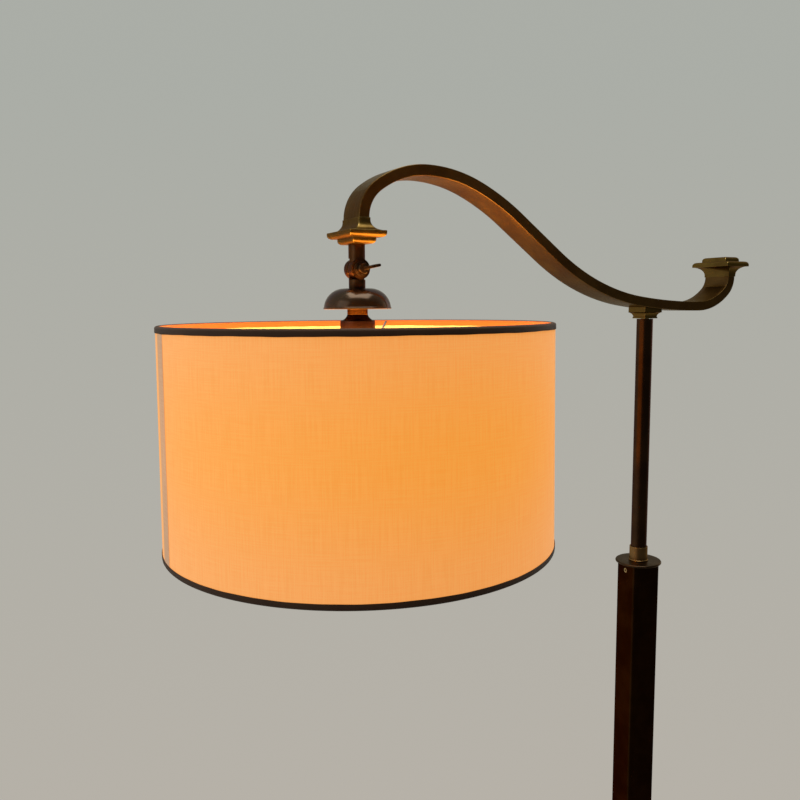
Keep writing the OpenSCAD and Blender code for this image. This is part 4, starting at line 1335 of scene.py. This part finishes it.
@dataclass
class Shade(Assembly):
    """Drum shade: laminated linen, folded tape, rings, spider and glued lap."""

    x: float = -402.8
    top_r: float = 200
    low_r: float = 202
    top: float = 1298.901
    low: float = 1069.501
    cut: Pair = (2 * math.pi * 0.201, 0.228)
    cloth_t: float = 1.0
    tape_t: float = 0.6
    tape_h: float = 6.4
    tape_crown: float = 2.2
    tape_wobble: float = 0.12
    wander: tuple[Numbers, ...] = ((1, 7, 1.3), (1, 17, 0.4), (0.7, 41, 0))
    glue: float = 0.15
    wire: float = 3.0
    arms: int = 3
    arm_bite: float = 1.5
    hub_top: float = 1251.901
    hub_t: float = 2
    hub_r: float = 25.75
    hub_in: float = 18.85
    spider_turn: float = 54
    lap_from: float = 177
    lap_w: float = 20
    lap_t: float = 0.4
    steps: int = 240
    rows: int = 12

    @property
    def lean(self) -> float:
        """How far the cloth goes outwards for each millimetre upwards."""
        return (self.top_r - self.low_r) / (self.top - self.low)

    def wall(self, low: float, high: float, out: float, thickness: float) -> list[Spot]:
        """Draws a section that leans with the cloth.

        Args:
            low: its lower edge's height.
            high: its upper edge's height.
            out: how far its outer side lies outside the cloth's.
            thickness: its thickness.

        Returns:
            The section, anticlockwise.
        """
        heights = [low + (high - low) * k / self.rows for k in range(self.rows + 1)]
        outer = [Spot(self.low_r + self.lean * (z - self.low) + out, z) for z in heights]
        return outer + [Spot(spot.out - thickness, spot.up) for spot in reversed(outer)]

    def strip(
        self, name: str, outline: Sequence[Spot], start: float = 0, span: float = 360, wobble: float = 0
    ) -> Piece:
        """Sweeps a closed section round the shade and lays its cloth map.

        Args:
            name: the piece's name.
            outline: the section, anticlockwise, as radius and height.
            start: first angle in degrees.
            span: how far the strip goes round; a full turn closes it.
            wobble: how much the section's edges wander, as the sum of the waves in wander.

        Returns:
            The strip.
        """
        full = span >= 360
        count, size = max(2, round(self.steps * span / 360)), len(outline)
        rings = []
        for k in range(count if full else count + 1):
            a = math.radians(start + span * k / count)
            stray = wobble * sum(share * math.sin(waves * a + phase) for share, waves, phase in self.wander)
            ways = [(spoke(a, (s.out + 0.4 * stray * s.wear) * MM), s.up + stray * s.wear) for s in outline]
            rings.append([(self.x * MM + way.x, way.y, up * MM) for way, up in ways])
        run = [0.0]
        for p, q in zip(outline, [*outline[1:], outline[0]]):
            run.append(run[-1] + math.hypot(q.out - p.out, q.up - p.up) * MM)
        reach = math.radians(span) / count * self.top_r * MM
        faces, flat = [], []
        for i in range(count):
            j = (i + 1) % len(rings)
            for k in range(size):
                m = (k + 1) % size
                faces.append((i * size + k, j * size + k, j * size + m, i * size + m))
                u, w = i * reach, (i + 1) * reach
                flat += [(u, run[k]), (w, run[k]), (w, run[k + 1]), (u, run[k + 1])]
        if not full:
            faces += [tuple(range(size)), tuple(reversed(range(count * size, (count + 1) * size)))]
            flat += [(0.0, run[k]) for k in range(size)]
            flat += [(count * reach, run[k]) for k in reversed(range(size))]
        mesh = bpy.data.meshes.new(name)
        mesh.from_pydata([point for ring in rings for point in ring], [], faces)
        for loop, place in zip(mesh.uv_layers.new(name=CLOTH_MAP).data, flat):
            loop.uv = place
        cleaned(mesh)
        return smooth(linked(name, mesh), 50)

    def lined(
        self, piece: Piece, finishes: Sequence[Finish], facing: float = 0.0, within: float = math.inf
    ) -> Piece:
        """Gives the faces of a piece that look at the shade's axis a second finish.

        Args:
            piece: the piece.
            finishes: its main finish and the one inside.
            facing: how squarely a face has to look at the axis, from 0 to 1.
            within: the greatest distance from the axis of such a face.

        Returns:
            The piece.
        """
        for finish in finishes:
            piece.data.materials.append(finish.material())
        for face in piece.data.polygons:
            out = Vector((face.center.x - self.x * MM, face.center.y, 0))
            if face.normal.dot(out.normalized()) < -facing and out.length < within * MM:
                face.material_index = 1
        return piece

    def tape(self, name: str, rim_r: float, rim_z: float, side: int) -> Piece:
        """Makes the tape that is folded over one edge of the shade.

        Args:
            name: the piece's name.
            rim_r: the cloth's outer radius at that edge.
            rim_z: the edge's height.
            side: 1 for the top edge and -1 for the bottom one.

        Returns:
            The tape.
        """
        t, h, crown = self.tape_t, self.tape_h, self.tape_crown
        inner, outer = rim_r - self.cloth_t - self.wire - 2 * self.glue - t, rim_r + self.glue + t
        mid, half = (inner + outer) / 2, (outer - inner) / 2
        bow = [math.pi * k / 12 for k in range(1, 12)]
        section = [Spot(outer - 0.1, -h, 1.0), Spot(outer, 0.4 - h, 0.6), Spot(outer, -0.55 * h, 0.2)]
        section += [Spot(outer, -crown)]
        section += [Spot(mid + half * math.cos(a), crown * math.sin(a) - crown) for a in bow]
        section += [Spot(inner, -crown), Spot(inner, -h - 0.6, 0.5), Spot(inner + 0.1, -h - 1, 1.0)]
        section += [Spot(inner + t, -h - 0.9, 1.0), Spot(inner + t, -crown)]
        half, high = half - t, crown - t
        section += [Spot(mid + half * math.cos(a), high * math.sin(a) - crown) for a in reversed(bow)]
        section += [Spot(outer - t, -crown), Spot(outer - t, 0.1 - h, 0.8)]
        lean = side * self.lean
        outline = [Spot(s.out + lean * s.up * (s.out > mid), rim_z + side * s.up, s.wear) for s in section]
        strip = self.strip(name, outline[::side], wobble=self.tape_wobble)
        # painted light: the tape's faces inside the shade get its lit copy
        return self.lined(strip, (Finishes.TAPE, Finishes.TAPE_PAINTED_LIT), 0.55, mid - 0.5)

    def spider(self) -> Piece:
        """Makes the spider: top ring, equal wire arms and hub washer.

        Returns:
            The spider.
        """
        half = self.hub_t / 2
        hub_z = self.hub_top - half
        sizes = {
            "ring_r": (self.top_r - self.cloth_t - self.glue - self.wire / 2) * MM,
            "ring_rise": (self.top - self.tape_t - self.glue - self.wire / 2 - hub_z) * MM,
            "hub_r": (self.hub_r - self.arm_bite) * MM, "wire_r": self.wire / 2 * MM,
            "arms": self.arms, "first": math.radians(self.spider_turn),
        }
        bench = Bench("shade_spider_frame", [(0, 0, 0)], Finishes.WIRE, **sizes)
        inlet, section = bench.inlet, bench.circle(bench.inlet["wire_r"], 16)
        far = bench.vector(X=inlet["ring_r"], Z=inlet["ring_rise"])
        ends = {"Start": bench.vector(X=inlet["hub_r"]), "End": far}
        line = bench.add("GeometryNodeCurvePrimitiveLine", ends)
        arm = bench.sweep(line, section)
        spots = bench.add("GeometryNodeMeshLine", {"Count": inlet["arms"], "Offset": (0.0, 0.0, 0.0)})
        step = bench.maths("DIVIDE", 2 * math.pi, inlet["arms"])
        angle = bench.plus(bench.times(bench.add("GeometryNodeInputIndex"), step), inlet["first"])
        copies = {"Points": spots, "Instance": arm, "Rotation": bench.vector(Z=angle)}
        ring = bench.sweep(bench.circle(inlet["ring_r"], 180), section, caps=False)
        raised = {"Geometry": ring, "Translation": bench.vector(Z=inlet["ring_rise"])}
        both = bench.node("GeometryNodeJoinGeometry")
        bench.put(both.inputs[0], bench.add("GeometryNodeInstanceOnPoints", copies))
        bench.put(both.inputs[0], bench.add("GeometryNodeTransform", raised))
        piece = bench.make(both.outputs[0])
        middle = (self.x * MM, 0, hub_z * MM)
        piece.data.transform(Matrix.Translation(middle))
        profile = [Corner(self.hub_in, -half, 0.2), Corner(self.hub_r, -half, 0.6)]
        profile += [Corner(self.hub_r, half, 0.6), Corner(self.hub_in, half, 0.2)]
        hub = turned("hub", profile, middle, 96)
        joined = bmesh.new()
        for part in (piece, hub):
            joined.from_mesh(part.data)
        joined.to_mesh(piece.data)
        joined.free()
        bpy.data.objects.remove(hub)
        return smooth(piece, 45)

    def low_ring(self) -> Piece:
        """Makes the wire ring in the shade's lower edge.

        Returns:
            The ring.
        """
        r = self.low_r - self.cloth_t - self.glue - self.wire / 2
        z = self.low + self.tape_t + self.glue + self.wire / 2
        ways = [spoke(2 * math.pi * k / 180, r) for k in range(180)]
        points = [Vector((self.x + way.x, way.y, z)) * MM for way in ways]
        bench = Bench("shade_low_ring", points, Finishes.WIRE, closed=True, wire_r=self.wire / 2 * MM)
        section = bench.circle(bench.inlet["wire_r"], 12)
        return bench.make(bench.sweep(bench.path(), section))

    def build(self) -> None:
        """Makes and dresses the shade."""
        hem = self.tape_t + self.glue
        section = self.wall(self.low + hem, self.top - hem, 0, self.cloth_t)
        cloth = self.strip("shade_cloth_drum", section)
        drum = (Finishes.LINEN, Finishes.LINING)
        self.dress(self.lined(cloth, drum), Body.HEAD, "shade_drum", *drum)
        for name, r, z, side, node in (
            ("shade_top_tape", self.top_r, self.top, 1, "shade_top_trim"),
            ("shade_low_tape", self.low_r, self.low, -1, "shade_low_trim"),
        ):
            self.dress(self.tape(name, r, z, side), Body.HEAD, node, Finishes.TAPE, Finishes.TAPE_PAINTED_LIT)
        hem = self.tape_h + 2 * self.glue
        section = self.wall(self.low + hem, self.top - hem, self.glue + self.lap_t, self.lap_t)
        lap = self.strip("shade_cloth_lap", section, self.lap_from, math.degrees(self.lap_w / self.top_r))
        self.dress(lap, Body.HEAD, "shade_seam", Finishes.LAP)
        self.dress(self.spider(), Body.HEAD, "shade_spider", Finishes.WIRE)
        self.dress(self.low_ring(), Body.HEAD, "shade_low_wire", Finishes.WIRE)


# --------------------------------------------------------------------- studio


@dataclass(frozen=True)
class Softbox:
    """A soft light: place and target in metres, size, power in watts, colour, and outline."""

    name: str
    at: Numbers
    towards: Numbers
    size: Pair
    watts: float
    colour: Colour
    shape: str = "RECTANGLE"

    def hang(self) -> None:
        """Hangs the light."""
        data = bpy.data.lights.new(self.name, "AREA")
        data.shape, data.size = self.shape, self.size[0]
        if self.shape == "RECTANGLE":
            data.size_y = self.size[1]
        data.energy, data.color = self.watts, self.colour
        light = linked(self.name, data)
        light.location = self.at
        light.rotation_euler = (Vector(self.towards) - Vector(self.at)).to_track_quat("-Z", "Y").to_euler()
        light.visible_camera = False


@dataclass
class Studio:
    """Camera, soft light, pale floor and plain background, with places in metres."""

    camera_at: Numbers = (-0.7589, -0.7483, 1.3161)
    yaw: float = 0.496
    pitch: float = 0.117
    roll: float = -0.008
    lens: float = 36.0
    sensor: float = 36.0
    bulb_at: Numbers = (-0.4028, 0.0, 1.195)
    bulb_r: float = 0.0325
    bulb_watts: float = 4.0
    glow_z: float = 1.255
    glow_d: float = 0.34
    glow_watts: float = 2.5
    lamp_light: Colour = (1.0, 0.42, 0.09)
    backdrop: Colour = (0.405, 0.42, 0.385)
    backdrop_low: Colour = (0.47, 0.44, 0.39)
    floor_r: float = 0.95
    floor_tones: tuple[Colour, Colour] = ((0.62, 0.61, 0.565), (0.66, 0.645, 0.60))

    def camera(self) -> None:
        """Sets up the camera at the photograph's angle."""
        level = math.cos(self.pitch)
        forward = Vector((math.sin(self.yaw) * level, math.cos(self.yaw) * level, -math.sin(self.pitch)))
        right = Vector((math.cos(self.yaw), -math.sin(self.yaw), 0))
        up = right.cross(forward)
        across = right * math.cos(self.roll) + up * math.sin(self.roll)
        above = up * math.cos(self.roll) - right * math.sin(self.roll)
        data = bpy.data.cameras.new("camera")
        data.lens, data.sensor_width, data.clip_start = self.lens, self.sensor, 0.02
        camera = linked("camera", data)
        turn = Matrix((across, above, -forward)).transposed().to_4x4()
        camera.matrix_world = Matrix.Translation(self.camera_at) @ turn
        bpy.context.scene.camera = camera

    def lights(self) -> None:
        """Hangs the soft lights, the bulb's own light and the glow of the shade's bright inside."""
        x, y, _ = self.bulb_at
        low, high, size = (x, y, self.glow_z), (x, y, self.glow_z + 1), (self.glow_d, self.glow_d)
        for light in (
            Softbox("overhead", (-0.3, -0.2, 3.0), (-0.2, 0, 1.2), (1.6, 1.2), 22, (1.0, 0.97, 0.91)),
            Softbox("left window", (-2.6, -0.4, 2.3), (-0.3, 0, 1.2), (1.6, 1.6), 5.5, (1.0, 0.98, 0.95)),
            Softbox("right wall", (2.4, 0.4, 1.6), (0, 0, 1.0), (1.4, 1.6), 4, (1.0, 0.92, 0.82)),
            Softbox("shade glow", low, high, size, self.glow_watts, self.lamp_light, "DISK"),
        ):
            light.hang()
        data = bpy.data.lights.new("bulb light", "POINT")
        data.energy, data.color, data.shadow_soft_size = self.bulb_watts, self.lamp_light, self.bulb_r
        bulb = linked("bulb light", data)
        bulb.location = self.bulb_at
        bulb.visible_camera = False

    def world(self) -> None:
        """Sets the plain background and the even light around the lamp, dimmer from the camera's side."""
        world = bpy.data.worlds.new("studio")
        bpy.context.scene.world = world
        world.use_nodes = True
        world.node_tree.nodes.clear()
        sheet = Sheet(world.node_tree)
        _, deep, high = sheet.parts(sheet.node("ShaderNodeTexCoord").outputs["Generated"])
        pale = sheet.blend(sheet.between(high, 0.25, -0.55, style="LINEAR"), self.backdrop, self.backdrop_low)
        dim = sheet.blend(sheet.between(deep, -0.75, 0.25, (0.16, 1.0)), (0, 0, 0), pale)
        seen, around = (sheet.add("ShaderNodeBackground", {"Color": tone}) for tone in (pale, dim))
        direct = sheet.node("ShaderNodeLightPath").outputs["Is Camera Ray"]
        mixed = sheet.add("ShaderNodeMixShader", {0: direct, 1: around, 2: seen})
        sheet.put(sheet.node("ShaderNodeOutputWorld").inputs[0], mixed)

    def floor(self) -> None:
        """Lays a pale round floor that fades into the background."""
        build = bmesh.new()
        bmesh.ops.create_circle(build, cap_ends=True, segments=128, radius=self.floor_r)
        mesh = bpy.data.meshes.new("floor")
        build.to_mesh(mesh)
        build.free()
        sheet = ShaderSheet("pale floor")
        far = sheet.node("ShaderNodeVectorMath", {0: sheet.place}, operation="LENGTH").outputs["Value"]
        sheet.surface(
            Base_Color=sheet.blend(sheet.noise(90), *self.floor_tones), Roughness=0.75,
            Alpha=sheet.between(far, 0.25, 0.9, (1.0, 0.0)),
        )
        mesh.materials.append(sheet.material)
        linked("floor", mesh)

    def build(self) -> None:
        """Builds the studio."""
        bpy.context.scene.view_settings.view_transform = "Standard"
        self.camera()
        self.world()
        self.floor()
        self.lights()


def main() -> None:
    """Dresses the lamp, piece by piece, and sets the studio."""
    logging.basicConfig(level=logging.INFO, format="%(message)s")
    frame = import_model()
    for assembly in (Base, Column, Pole, Arm, Head, Shade):
        assembly(frame).build()
    Studio().build()


if __name__ == "__main__":
    main()
